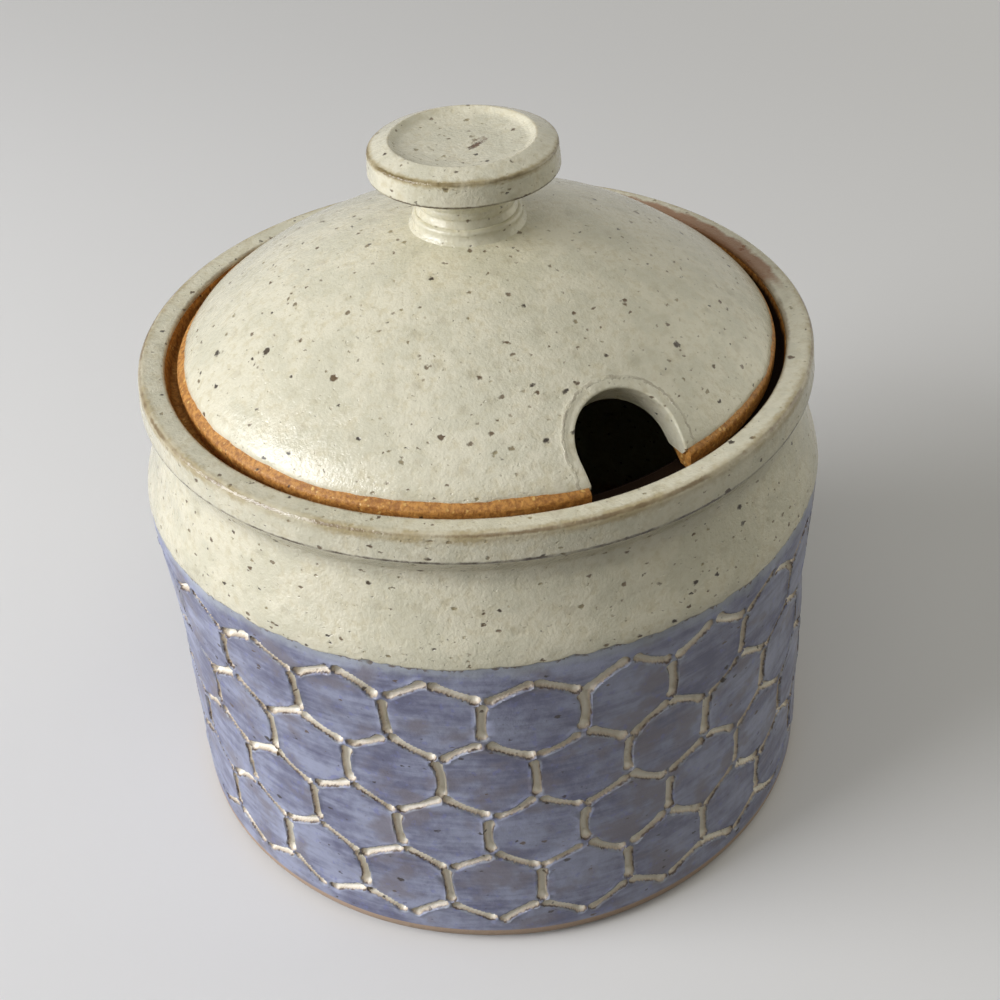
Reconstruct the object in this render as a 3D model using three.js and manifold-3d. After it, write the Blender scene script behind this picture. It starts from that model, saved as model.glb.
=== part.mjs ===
// A stoneware honey pot in millimetres, +Z up: a galleried jar and a domed lid that lifts off by its knob.
// The origin is the centre of the base. The spoon notch in the lid's edge faces -Y.
import * as THREE from "three";
import { mergeVertices } from "three/addons/utils/BufferGeometryUtils.js";
import Module from "manifold-3d";

const rim = {
  radius: 55, // outer edge of the top
  width: 4.15,
  dish: 0.45, // how far the top slopes down towards the mouth
  band: 4.7, // height of the outer side
  flare: 0.7, // how far the side leans out towards its lower edge
  round: 1,
};

// The jar's glazed outside. A spread or a tuck is measured out or in from the edge of the rim,
// and a drop down from its top.
const jar = {
  height: 88,
  footSpread: 4.3, // where the wall's line would meet the table, before the foot is rounded
  footRound: 3,
  waistSpread: 2.3,
  shoulderSpread: 3,
  shoulderDrop: 22.5,
  shoulderRound: 16,
  throatTuck: 2,
  throatDrop: 9,
  throatRound: 4,
};
const waistHeightShare = 0.66; // of the height of the shoulder

const wall = 4.7;
const floor = { thickness: 6, round: 9 };
const footRing = { width: 11, hollow: 1.2, slope: 1.5 };

// The ledge inside the rim that the lid sits on.
const gallery = {
  depth: 4.2,
  draft: 0.45,
  seatWidth: 5.4,
  lip: 3.6, // thickness of the ledge at its inner edge
  round: 0.8,
};

// Glaze and slip coats lie over the clay, in a space cut back for them.
const coat = 0.6;
const gap = 0.3;
const band = { bottom: 3.2, drop: 23 };

const lid = {
  clearance: 1.65, // all round, to the rim
  edge: 3.9, // from the lid's foot to the edge of its glaze
  glazeInset: 0.3, // how far the glaze stops short of the clay's side
  rise: 19.4, // of the dome, from the edge of its glaze
  thickness: 3.6,
  footRound: 0.8,
  sideRound: 0.5,
};

const notch = { width: 16.2, depth: 10.4 }; // depth from the lid's side to the crown, in plan

// The knob's heights are measured up from the top of the glazed dome.
const knob = {
  tenonRadius: 6.5,
  shoulder: 1.3, // foot of the stem, where it meets the luting coil
  stemRadius: 8.5,
  stemTop: 5,
  stemRound: 2.5,
  capRadius: 14.95,
  capFoot: 8.4, // lower edge of the cap
  capSide: 3.67,
  capDraft: 0.3,
  bevelWidth: 3.36,
  bevelRise: 1.31,
  dishSlope: 1.7, // width of the slope inside the dish's edge
  dishDepth: 1.4,
  edgeRound: 0.5,
};
const coil = { width: 2.6, round: 1.1 };

const turns = { jar: 48, lid: 48, knob: 32 }; // facets round each thrown piece
const arcStep = THREE.MathUtils.degToRad(32); // largest turn between two points of a rounded corner
const domeSteps = 7;
const overrun = 8; // how far a cutter runs past what it cuts

const clay = new THREE.MeshStandardMaterial({ color: 0xa8642f, roughness: 0.85 });
const creamGlaze = new THREE.MeshStandardMaterial({ color: 0xd6d0bb, roughness: 0.35 });
const blueSlip = new THREE.MeshStandardMaterial({ color: 0x7c84ab, roughness: 0.5 });

// Outlines are lists of corners in a plane through the axis: radius, height and rounding.
// They run anticlockwise, so the clay is on their left.

const corner = (r, z, round = 0) => ({ r, z, round });

const direction = (a, b) => {
  const length = Math.hypot(b.r - a.r, b.z - a.z);
  return { r: (b.r - a.r) / length, z: (b.z - a.z) / length, length };
};

// The outline moved into the clay by a distance, with its rounded corners kept parallel.
function inset(corners, distance) {
  return corners.map((c, i) => {
    const before = i > 0 ? direction(corners[i - 1], c) : direction(c, corners[1]);
    const after = i < corners.length - 1 ? direction(c, corners[i + 1]) : before;
    const mitre = distance / (1 + before.r * after.r + before.z * after.z);
    const turn = Math.sign(before.r * after.z - before.z * after.r);
    return corner(
      c.r - (before.z + after.z) * mitre,
      c.z + (before.r + after.r) * mitre,
      c.round && Math.max(c.round - turn * distance, 0),
    );
  });
}

// The points of an outline, with each rounded corner as an arc that its two sides have room for.
function rounded(corners) {
  return corners.flatMap((c, i) => {
    if (!c.round || i === 0 || i === corners.length - 1) return [corner(c.r, c.z)];
    const before = direction(corners[i - 1], c);
    const after = direction(c, corners[i + 1]);
    const turn = Math.atan2(
      before.r * after.z - before.z * after.r,
      before.r * after.r + before.z * after.z,
    );
    const room = Math.min(before.length, after.length) / 2;
    const tangent = Math.min(c.round * Math.tan(Math.abs(turn) / 2), room);
    const radius = tangent / Math.tan(Math.abs(turn) / 2);
    const steps = Math.max(1, Math.ceil(Math.abs(turn) / arcStep));
    const side = Math.sign(turn) * radius;
    const start = { r: c.r - before.r * tangent, z: c.z - before.z * tangent };
    const centre = { r: start.r - before.z * side, z: start.z + before.r * side };
    return Array.from({ length: steps + 1 }, (_, k) => {
      const angle = (turn * k) / steps;
      const r = start.r - centre.r;
      const z = start.z - centre.z;
      return corner(
        centre.r + r * Math.cos(angle) - z * Math.sin(angle),
        centre.z + r * Math.sin(angle) + z * Math.cos(angle),
      );
    });
  });
}

// The stretch of an outline from where it first climbs past one height to where it first passes another.
function between(points, low, high = Infinity) {
  const crossing = (z) => {
    const i = points.findIndex((p, k) => k > 0 && points[k - 1].z < z && p.z >= z);
    const share = (z - points[i - 1].z) / (points[i].z - points[i - 1].z);
    const r = points[i - 1].r + share * (points[i].r - points[i - 1].r);
    return { index: i, point: corner(r, z) };
  };
  const start = crossing(low);
  if (high === Infinity) return [start.point, ...points.slice(start.index)];
  const end = crossing(high);
  return [start.point, ...points.slice(start.index, end.index), end.point];
}

// An arc of the dome's circle about a centre on the axis, from one radius to another.
function domeArc(centre, radius, from, to) {
  const start = Math.asin(from / radius);
  const end = Math.asin(to / radius);
  return Array.from({ length: domeSteps + 1 }, (_, k) => {
    const angle = start + ((end - start) * k) / domeSteps;
    return corner(radius * Math.sin(angle), centre + radius * Math.cos(angle));
  });
}

// A thrown piece: an outline turned about the Z axis. A ring's outline closes on itself.
function thrown(points, facets, ring = false) {
  const outline = (ring ? [...points, points[0]] : points).map((p) => new THREE.Vector2(p.r, p.z));
  return new THREE.LatheGeometry(outline, facets).rotateX(Math.PI / 2);
}

function named(name, geometry, material) {
  const mesh = new THREE.Mesh(geometry, material);
  mesh.name = name;
  return mesh;
}

const wasm = await Module();
wasm.setup();

function solidOf(geometry) {
  const bare = geometry.clone();
  bare.deleteAttribute("normal");
  bare.deleteAttribute("uv");
  const merged = mergeVertices(bare);
  return new wasm.Manifold(
    new wasm.Mesh({
      numProp: 3,
      vertProperties: merged.attributes.position.array,
      triVerts: new Uint32Array(merged.index.array),
    }),
  );
}

function cut(geometry, cutter) {
  const mesh = solidOf(geometry).subtract(solidOf(cutter)).getMesh();
  const made = new THREE.BufferGeometry();
  made.setAttribute("position", new THREE.BufferAttribute(mesh.vertProperties, mesh.numProp));
  made.setIndex(new THREE.BufferAttribute(mesh.triVerts, 1));
  made.computeVertexNormals();
  return made;
}

// The jar

const shoulderHeight = jar.height - jar.shoulderDrop;
const bandTop = jar.height - band.drop;
const seatHeight = jar.height - gallery.depth;
const mouthRadius = rim.radius - rim.width;
const footRadius = rim.radius + jar.footSpread;

// The glazed outside, from the middle of the base to the inner edge of the rim.
const outside = [
  corner(0, 0),
  corner(footRadius, 0, jar.footRound),
  corner(rim.radius + jar.waistSpread, shoulderHeight * waistHeightShare),
  corner(rim.radius + jar.shoulderSpread, shoulderHeight, jar.shoulderRound),
  corner(rim.radius - jar.throatTuck, jar.height - jar.throatDrop, jar.throatRound),
  corner(rim.radius + rim.flare, jar.height - rim.band, rim.round),
  corner(rim.radius, jar.height, rim.round),
  corner(mouthRadius, jar.height - rim.dish),
];
const skin = rounded(outside);
const skinBack = rounded(inset(outside, coat));
const clayFace = rounded(inset(outside, coat + gap));

// Clay is cut back for the coats above the foot, and bare inside the mouth, where the lid sits.
function jarOutline() {
  const [, heel, waist, shoulder, throat] = inset(outside, wall);
  const share = (floor.thickness - heel.z) / (waist.z - heel.z);
  const insideFoot = heel.r + share * (waist.r - heel.r);
  const galleryRadius = mouthRadius - gallery.draft;
  const lipRadius = galleryRadius - gallery.seatWidth;
  const ringRadius = footRadius - jar.footRound - footRing.width;
  const inside = rounded([
    clayFace.at(-1),
    corner(galleryRadius, seatHeight, gallery.round),
    corner(lipRadius, seatHeight, gallery.round),
    corner(lipRadius, seatHeight - gallery.lip, gallery.round),
    throat,
    shoulder,
    waist,
    corner(insideFoot, floor.thickness, floor.round),
    corner(0, floor.thickness),
  ]);
  return [
    corner(0, footRing.hollow),
    corner(ringRadius - footRing.slope, footRing.hollow),
    corner(ringRadius, 0),
    ...skin.filter((p) => p.r > 0 && p.z < band.bottom),
    between(skin, band.bottom)[0],
    ...between(clayFace, band.bottom),
    ...inside.slice(1),
  ];
}

function coatOutline(low, high) {
  return [...between(skin, low, high), ...between(skinBack, low, high).reverse()];
}

const jarPieces = new THREE.Group();
jarPieces.add(
  named("pot_body", thrown(jarOutline(), turns.jar), clay),
  named("slip_band", thrown(coatOutline(band.bottom + gap, bandTop), turns.jar, true), blueSlip),
  named("neck_glaze", thrown(coatOutline(bandTop + gap), turns.jar, true), creamGlaze),
);

// The lid, measured up from its foot

const lidRadius = mouthRadius - lid.clearance;
const glazeRadius = lidRadius - lid.glazeInset;
const domeRadius = (glazeRadius ** 2 + lid.rise ** 2) / (2 * lid.rise);
const domeTop = lid.edge + lid.rise;
const domeCentre = domeTop - domeRadius;
const clayRadius = domeRadius - coat - gap;
const hollowRadius = clayRadius - lid.thickness;
const coilInner = knob.tenonRadius + gap;
const coilOuter = coilInner + coil.width;

function lidOutline() {
  const sideTop = domeCentre + Math.sqrt(clayRadius ** 2 - lidRadius ** 2);
  const hollowFoot = Math.sqrt(hollowRadius ** 2 - domeCentre ** 2);
  const clayTop = domeArc(domeCentre, clayRadius, glazeRadius - lid.sideRound, 0);
  const edge = rounded([
    corner(hollowFoot, 0),
    corner(lidRadius, 0, lid.footRound),
    corner(lidRadius, sideTop, lid.sideRound),
    clayTop[0],
  ]);
  return [...domeArc(domeCentre, hollowRadius, 0, hollowFoot).slice(0, -1), ...edge, ...clayTop.slice(1)];
}

function glazeOutline() {
  const hole = coilOuter + gap;
  const share = glazeRadius / domeRadius; // both faces of the coat end on one line from the dome's centre
  return [
    ...domeArc(domeCentre, domeRadius - coat, hole, (domeRadius - coat) * share),
    ...domeArc(domeCentre, domeRadius, glazeRadius, hole),
  ];
}

// A round-headed slot cut square to the dome, open at the lid's side.
function notchCutter() {
  const half = notch.width / 2;
  const crown = lidRadius - notch.depth;
  const lean = Math.asin((lidRadius - notch.depth / 2) / domeRadius);
  const open = notch.depth + overrun;
  const slot = new THREE.Shape();
  slot.moveTo(half, -half);
  slot.absarc(0, -half, half, 0, Math.PI, false);
  slot.lineTo(-half, -open);
  slot.lineTo(half, -open);
  slot.closePath();
  const through = lid.thickness + coat + gap + overrun;
  const block = new THREE.ExtrudeGeometry(slot, {
    depth: through + overrun,
    bevelEnabled: false,
    curveSegments: turns.knob / 2,
  });
  block.translate(0, 0, -through);
  block.rotateX(lean);
  block.translate(0, -crown, domeCentre + Math.sqrt(domeRadius ** 2 - crown ** 2));
  return block;
}

const spoonNotch = notchCutter();
const lidPieces = new THREE.Group();
lidPieces.position.z = seatHeight + gap;
lidPieces.add(
  named("lid_dome", cut(thrown(lidOutline(), turns.lid), spoonNotch), clay),
  named("lid_glaze", cut(thrown(glazeOutline(), turns.lid, true), spoonNotch), creamGlaze),
);

// The knob and the coil of clay that lutes it to the dome, measured up from the top of the glaze

function knobOutline() {
  const tenonFoot = -coat;
  const capTop = knob.capFoot + knob.capSide;
  const topRadius = knob.capRadius - knob.capDraft;
  const dishRadius = topRadius - knob.bevelWidth;
  const dishEdge = capTop + knob.bevelRise;
  return rounded([
    corner(0, tenonFoot),
    corner(knob.tenonRadius, tenonFoot),
    corner(knob.tenonRadius, knob.shoulder),
    corner(knob.stemRadius, knob.shoulder, knob.edgeRound),
    corner(knob.stemRadius, knob.stemTop, knob.stemRound),
    corner(knob.capRadius, knob.capFoot, knob.edgeRound),
    corner(topRadius, capTop, knob.edgeRound),
    corner(dishRadius, dishEdge, knob.edgeRound),
    corner(dishRadius - knob.dishSlope, dishEdge - knob.dishDepth, knob.stemRound),
    corner(0, dishEdge - knob.dishDepth),
  ]);
}

function coilOutline() {
  const centre = -domeRadius;
  const bed = clayRadius + gap;
  const bedAt = (r) => centre + Math.sqrt(bed ** 2 - r ** 2);
  const top = knob.shoulder - gap;
  return rounded([
    corner(coilInner, bedAt(coilInner)),
    corner(coilOuter, bedAt(coilOuter)),
    corner(coilOuter, top, coil.round),
    corner(coilInner, top),
  ]);
}

const knobPieces = new THREE.Group();
knobPieces.position.z = domeTop;
knobPieces.add(
  named("knob", thrown(knobOutline(), turns.knob), creamGlaze),
  named("knob_coil", thrown(coilOutline(), turns.knob, true), creamGlaze),
);
lidPieces.add(knobPieces);

const honeyPot = new THREE.Group();
honeyPot.add(jarPieces, lidPieces);

export default honeyPot;
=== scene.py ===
"""Dresses a stoneware honey pot in bare clay, carved blue slip and speckled cream glaze.

The pot is turned as on a wheel. Each piece starts as a wire outline in edit mode, which is rounded
and spun. Sizes are in millimetres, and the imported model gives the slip's edges and the lid's place.
"""

import logging
import math
import random
from collections.abc import Iterator, Sequence
from contextlib import contextmanager
from dataclasses import dataclass, field
from enum import Enum

import bpy
import numpy as np
from mathutils import Matrix, Quaternion, Vector, noise


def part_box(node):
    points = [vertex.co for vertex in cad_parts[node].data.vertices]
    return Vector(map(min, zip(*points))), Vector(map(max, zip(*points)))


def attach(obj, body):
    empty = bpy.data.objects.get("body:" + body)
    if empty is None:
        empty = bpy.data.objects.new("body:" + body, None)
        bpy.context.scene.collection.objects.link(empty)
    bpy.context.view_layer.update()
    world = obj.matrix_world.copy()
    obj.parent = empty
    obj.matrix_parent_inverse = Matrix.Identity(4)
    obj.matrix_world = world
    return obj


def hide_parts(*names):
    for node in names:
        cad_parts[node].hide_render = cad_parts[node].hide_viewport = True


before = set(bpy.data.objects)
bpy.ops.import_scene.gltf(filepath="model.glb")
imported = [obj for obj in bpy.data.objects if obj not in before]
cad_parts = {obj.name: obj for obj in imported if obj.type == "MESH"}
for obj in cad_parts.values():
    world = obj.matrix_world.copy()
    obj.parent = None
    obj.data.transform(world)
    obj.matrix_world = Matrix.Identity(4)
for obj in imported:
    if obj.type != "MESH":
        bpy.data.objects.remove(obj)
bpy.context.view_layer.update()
MM = 0.001
FULL_TURN = 2 * math.pi
WELD = 1e-6  # metres, below which two points are one
CENTRE = Vector((0, 0, 0))
UP = (0, 0, 1)
QUARTER_TURN = math.pi / 2
NEAR = 0.01  # millimetres, within which a point is at a height or a radius
MOST_SEGMENTS = 12  # of a rounded corner
SHARP = math.radians(62)  # edges that turn more than this stay crisp

Array = np.ndarray
Colour = tuple[float, float, float, float]
Piece = bpy.types.Object
log = logging.getLogger("honey_pot")


class Body(Enum):
    """The two things that part when the lid is lifted."""

    POT = "pot"
    LID = "lid"


class Finish(Enum):
    """The material slots of the record."""

    CLAY = "bare_clay"
    CREAM = "cream_glaze"
    BLUE = "blue_slip"


class Part(Enum):
    """What is picked in edit mode."""

    POINTS = "vertices"
    EDGES = "edges"
    FACES = "polygons"


def rgb(red: float, green: float, blue: float) -> Colour:
    """An opaque linear colour."""
    return (red, green, blue, 1.0)


@dataclass(frozen=True)
class Extent:
    """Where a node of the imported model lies, in millimetres."""

    radius: float
    bottom: float
    top: float

    @classmethod
    def of(cls, node: str) -> "Extent":
        """The extent of a named node."""
        low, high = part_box(node)
        return cls(high.x / MM, low.z / MM, high.z / MM)


class Field:
    """A socket of a shader, which Python's operators turn into Math nodes."""

    def __init__(self, shader: "Shader", socket: bpy.types.NodeSocket) -> None:
        """Wraps a socket.

        Args:
            shader: the material that the socket belongs to.
            socket: an output socket.
        """
        self.shader = shader
        self.socket = socket

    def __add__(self, other: "Field | float") -> "Field":
        """The sum."""
        return self.shader.math("ADD", self, other)

    __radd__ = __add__

    def __sub__(self, other: "Field | float") -> "Field":
        """The difference."""
        return self.shader.math("SUBTRACT", self, other)

    def __rsub__(self, other: float) -> "Field":
        """The difference from a number."""
        return self.shader.math("SUBTRACT", other, self)

    def __mul__(self, other: "Field | float") -> "Field":
        """The product."""
        return self.shader.math("MULTIPLY", self, other)

    __rmul__ = __mul__

    def __truediv__(self, other: "Field | float") -> "Field":
        """The quotient."""
        return self.shader.math("DIVIDE", self, other)

    def __pow__(self, other: float) -> "Field":
        """The power."""
        return self.shader.math("POWER", self, other)

    def or_more(self, other: "Field | float") -> "Field":
        """The larger of two values."""
        return self.shader.math("MAXIMUM", self, other)

    def ramp(self, start: "Field | float", end: "Field | float") -> "Field":
        """A smooth rise from 0 to 1 as the value goes from start to end."""
        inputs = {"Value": self, "From Min": start, "From Max": end}
        return self.shader.node("ShaderNodeMapRange", {"interpolation_type": "SMOOTHSTEP"}, inputs)

    def beside(self, name: str) -> "Field":
        """Another output of the node that this one comes from."""
        return Field(self.shader, self.socket.node.outputs[name])


class Shader:
    """A material whose patterns are laid out in millimetres on the object's own coordinates."""

    def __init__(self, name: str) -> None:
        """Makes an empty material.

        Args:
            name: the material's name.
        """
        self.material = bpy.data.materials.new(name)
        self.material.use_nodes = True
        self.tree = self.material.node_tree
        self.tree.nodes.clear()
        metres = self.node("ShaderNodeTexCoord", output="Object")
        self.point = self.vector("SCALE", metres, Scale=1 / MM)
        split = self.node("ShaderNodeSeparateXYZ", inputs={"Vector": self.point}, output="X")
        self.x = split
        self.y = split.beside("Y")
        self.height = split.beside("Z")
        self.radius = (self.x * self.x + self.y * self.y) ** 0.5

    def node(
        self, kind: str, settings: dict | None = None, inputs: dict | None = None, output: str = ""
    ) -> Field:
        """Adds a node.

        Args:
            kind: the node's type.
            settings: its properties, which are set before its sockets.
            inputs: values or fields for its sockets, by identifier or name.
            output: the output wanted, or the first one that is in use.

        Returns:
            The output as a field.
        """
        made = self.tree.nodes.new(kind)
        for key, value in (settings or {}).items():
            setattr(made, key, value)
        for key, value in (inputs or {}).items():
            self.feed(self.find(made.inputs, key), value)
        if output:
            return Field(self, self.find(made.outputs, output))
        return Field(self, next(socket for socket in made.outputs if socket.enabled))

    @staticmethod
    def find(sockets: Sequence[bpy.types.NodeSocket], key: str) -> bpy.types.NodeSocket:
        """The socket in use with an identifier or a name."""
        named = [socket for socket in sockets if socket.identifier == key]
        return (named or [socket for socket in sockets if socket.name == key and socket.enabled])[0]

    def feed(self, socket: bpy.types.NodeSocket, value: "Field | float | Colour") -> None:
        """Links a field to a socket, or sets the socket's value."""
        if isinstance(value, Field):
            self.tree.links.new(value.socket, socket)
        else:
            socket.default_value = value

    def math(self, operation: str, *values: "Field | float") -> Field:
        """A Math node on one or two values."""
        made = self.tree.nodes.new("ShaderNodeMath")
        made.operation = operation
        for socket, value in zip(made.inputs, values):
            self.feed(socket, value)
        return Field(self, made.outputs[0])

    def vector(
        self, operation: str, first: Field, second: "Field | Sequence[float] | None" = None, **inputs
    ) -> Field:
        """A Vector Math node.

        Args:
            operation: what it does.
            first: its first vector.
            second: its second vector, where it has one.
            **inputs: its other sockets, by name.

        Returns:
            The vector.
        """
        made = self.tree.nodes.new("ShaderNodeVectorMath")
        made.operation = operation
        self.feed(made.inputs[0], first)
        if second is not None:
            self.feed(made.inputs[1], second)
        for key, value in inputs.items():
            self.feed(made.inputs[key], value)
        return Field(self, made.outputs["Vector"])

    def mix(self, share: "Field | float", first: "Field | Colour", second: "Field | Colour") -> Field:
        """A colour that goes from the first to the second as the share goes from 0 to 1."""
        inputs = {"Factor_Float": share, "A_Color": first, "B_Color": second}
        return self.node("ShaderNodeMix", {"data_type": "RGBA"}, inputs, "Result_Color")

    def noise(
        self, size: float, detail: float = 3, roughness: float = 0.6, at: Field | None = None
    ) -> Field:
        """Soft noise around 0.5.

        Args:
            size: the width of its patches, in millimetres.
            detail: how many finer layers it has.
            roughness: how strong the finer layers are.
            at: where it is read, or the point itself.

        Returns:
            The value.
        """
        place = at or self.point
        inputs = {"Vector": place, "Scale": 1 / size, "Detail": detail, "Roughness": roughness}
        return self.node("ShaderNodeTexNoise", {"noise_dimensions": "3D"}, inputs, "Fac")

    def ragged(self, size: float, amount: float, detail: float = 3, roughness: float = 0.6) -> Field:
        """Soft noise around 0, for a border that wanders by an amount over stretches of a size."""
        return (self.noise(size, detail, roughness) - 0.5) * amount

    def mark(self, name: str) -> Field:
        """A number that the mesh stores on its points."""
        return self.node("ShaderNodeAttribute", {"attribute_name": name}, output="Fac")

    def warped(self, size: float, amount: float, at: Field | None = None) -> Field:
        """The point moved about by up to half an amount, over patches of a size."""
        place = at or self.point
        inputs = {"Vector": place, "Scale": 1 / size, "Detail": 1.0}
        drift = self.node("ShaderNodeTexNoise", {}, inputs, "Color")
        centred = self.vector("SUBTRACT", drift, (0.5, 0.5, 0.5))
        return self.vector("ADD", place, self.vector("SCALE", centred, Scale=amount * 2))

    def stretched(self, along: float, up: float) -> Field:
        """The point with its pattern drawn out by a factor level and by another upright."""
        return self.vector("MULTIPLY", self.point, (1 / along, 1 / along, 1 / up))

    def thrown(self) -> Field:
        """The point for specks, which are uneven and drawn out the way the wheel turned."""
        return self.warped(0.45, 0.3, self.stretched(1.35, 0.85))

    def specks(
        self, spacing: float, smallest: float, largest: float, at: Field, soft: float = 0.12
    ) -> tuple[Field, Field]:
        """Scattered specks.

        Args:
            spacing: the mean distance between them in the clay.
            smallest: the least radius.
            largest: the greatest radius.
            at: where they are read.
            soft: how blurred their edges are.

        Returns:
            1 inside a speck and 0 outside, and a number from 0 to 1 that differs from speck to speck.
        """
        inputs = {"Vector": at, "Scale": 1 / spacing, "Randomness": 1.0}
        settings = {"voronoi_dimensions": "3D", "feature": "F1"}
        cell = self.node("ShaderNodeTexVoronoi", settings, inputs, "Distance")
        chance = self.node("ShaderNodeSeparateXYZ", inputs={"Vector": cell.beside("Color")}, output="X")
        radius = chance * chance * (largest - smallest) + smallest
        return (cell * spacing - radius).ramp(soft, -soft), chance.beside("Y")

    def ring(self, radius: float, height: float) -> Field:
        """The distance from a circle round the axis, in millimetres."""
        across = self.radius - radius
        up = self.height - height
        return (across * across + up * up) ** 0.5

    def surface(
        self,
        colour: Field,
        roughness: Field,
        relief: Field,
        coat: "Field | float" = 0.0,
        gloss: float = 0.3,
        specular: float = 0.5,
    ) -> None:
        """Joins the fields to a Principled BSDF.

        Args:
            colour: the base colour.
            roughness: the roughness.
            relief: the height of the fine relief, in millimetres.
            coat: the weight of the clear coat.
            gloss: the roughness of that coat.
            specular: how strongly the body below it reflects.
        """
        bump = self.node("ShaderNodeBump", {}, {"Height": relief, "Distance": MM, "Strength": 1.0})
        inputs = {
            "Base Color": colour,
            "Roughness": roughness,
            "Normal": bump,
            "Coat Weight": coat,
            "Coat Roughness": gloss,
            "IOR": 1.5,
            "Specular IOR Level": specular,
        }
        body = self.node("ShaderNodeBsdfPrincipled", {}, inputs, "BSDF")
        self.output(body)

    def output(self, body: Field) -> None:
        """Links a shader to the material's output."""
        made = self.tree.nodes.new("ShaderNodeOutputMaterial")
        self.feed(made.inputs["Surface"], body)


@dataclass(frozen=True)
class BrokenEdge:
    """A broken line of colour along a turned edge: toasted clay where the glaze runs thin over an upper
    edge, and a dark line along a lower edge.
    """

    radius: float
    height: float
    width: float
    colour: Colour
    strength: float = 1.0
    patch: float = 7.0  # length of its stronger and weaker stretches

    def share(self, shader: Shader) -> Field:
        """How much of the edge's colour shows."""
        ragged = shader.ragged(0.9, self.width)
        near = (shader.ring(self.radius, self.height) + ragged).ramp(self.width, self.width * 0.3)
        stretch = shader.noise(self.patch).ramp(0.38, 0.6) * 0.65 + 0.35
        return near * stretch * self.strength


@dataclass(frozen=True)
class DipLine:
    """The wandering line round the shoulder down to which the neck was dipped in glaze."""

    height: float
    wander: float = 0.7
    waves: float = 1.9  # of the wandering, per radius round the pot
    fray: float = 0.42
    frays: tuple[tuple[float, float], ...] = ((13, 1), (31, 0.8), (62, 0.5))  # waves and share

    def at(self, points: Array) -> Array:
        """The line's height on the bearing of each point."""
        heights = np.empty(len(points))
        for index, (x, y, _) in enumerate(points):
            flat = Vector((x, y, 0)).normalized()
            fine = sum(share * noise.noise(flat * waves) for waves, share in self.frays)
            slow = noise.noise(flat * self.waves)
            heights[index] = self.height + self.wander * slow + self.fray * fine
        return heights


@dataclass(frozen=True)
class Speckle:
    """Iron specks of one size, which burn through the glaze from dark to pale."""

    spacing: float
    smallest: float
    largest: float
    strength: float
    dark: Colour
    pale: Colour
    soft: float = 0.08

    def over(self, shader: Shader, colour: Field, place: Field) -> tuple[Field, Field]:
        """Lays the specks on a colour.

        Args:
            shader: the material.
            colour: the colour below them.
            place: where they are read.

        Returns:
            The colour with the specks, and how much of a speck is at each point.
        """
        mask, chance = shader.specks(self.spacing, self.smallest, self.largest, place, self.soft)
        tint = shader.mix(chance.ramp(0.25, 0.85), self.dark, self.pale)
        return shader.mix(mask * self.strength, colour, tint), mask * self.strength


IRON = rgb(0.028, 0.016, 0.008)
BROWN = rgb(0.125, 0.077, 0.034)
OLIVE = rgb(0.27, 0.22, 0.105)
FLECK = rgb(0.38, 0.315, 0.195)


@dataclass(frozen=True)
class CreamGlaze:
    """Oatmeal satin glaze over iron-rich stoneware."""

    edges: tuple[BrokenEdge, ...] = ()
    light: Colour = rgb(0.76, 0.72, 0.555)
    warm: Colour = rgb(0.645, 0.585, 0.40)
    cool: Colour = rgb(0.60, 0.58, 0.435)
    specks: tuple[Speckle, ...] = (
        Speckle(2.8, 0.15, 0.8, 0.24, OLIVE, FLECK, 0.4),
        Speckle(1.15, 0.0, 0.2, 0.65, BROWN, FLECK),
        Speckle(1.7, 0.03, 0.34, 0.86, BROWN, OLIVE, 0.1),
        Speckle(2.2, 0.04, 0.36, 0.97, IRON, BROWN, 0.1),
        Speckle(3.9, 0.08, 0.52, 0.97, IRON, BROWN, 0.12),
    )
    gloss: float = 0.22
    coat: float = 0.12
    specular: float = 0.5
    rough: float = 0.09  # of the clean glaze
    rough_mottle: float = 0.12
    rough_pits: float = 0.15
    swell: float = 0.18  # millimetres of soft relief
    peel: float = 0.11  # millimetres of fine relief
    pit_depth: float = 0.07

    def layers(self, shader: Shader) -> tuple[Field, Field, Field, Field]:
        """Builds the glaze.

        Args:
            shader: the material that it is built in.

        Returns:
            Its colour, roughness and relief, and the weight of its clear coat.
        """
        mottle = shader.noise(1.3, 4)
        cloud = shader.noise(7, 4)
        colour = shader.mix(mottle.ramp(0.3, 0.56) * 0.75 + 0.25, self.warm, self.light)
        colour = shader.mix(cloud.ramp(0.42, 0.6) * 0.5, colour, self.cool)
        drawn = shader.thrown()
        pits, _ = shader.specks(1.2, 0.0, 0.17, drawn, 0.08)
        for speckle in self.specks:
            colour, shown = speckle.over(shader, colour, drawn)
            pits = pits.or_more(shown)
        for edge in self.edges:
            colour = shader.mix(edge.share(shader), colour, edge.colour)
        roughness = mottle * self.rough_mottle + pits * self.rough_pits + self.rough
        relief = shader.noise(2.6) * self.swell + shader.noise(0.55, 3, 0.65) * self.peel
        return colour, roughness, relief - pits * self.pit_depth, (1 - pits) * self.coat

    def material(self, name: str) -> bpy.types.Material:
        """The glaze as a material."""
        shader = Shader(name)
        colour, roughness, relief, coat = self.layers(shader)
        shader.surface(colour, roughness, relief, coat, self.gloss, self.specular)
        return shader.material


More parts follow.
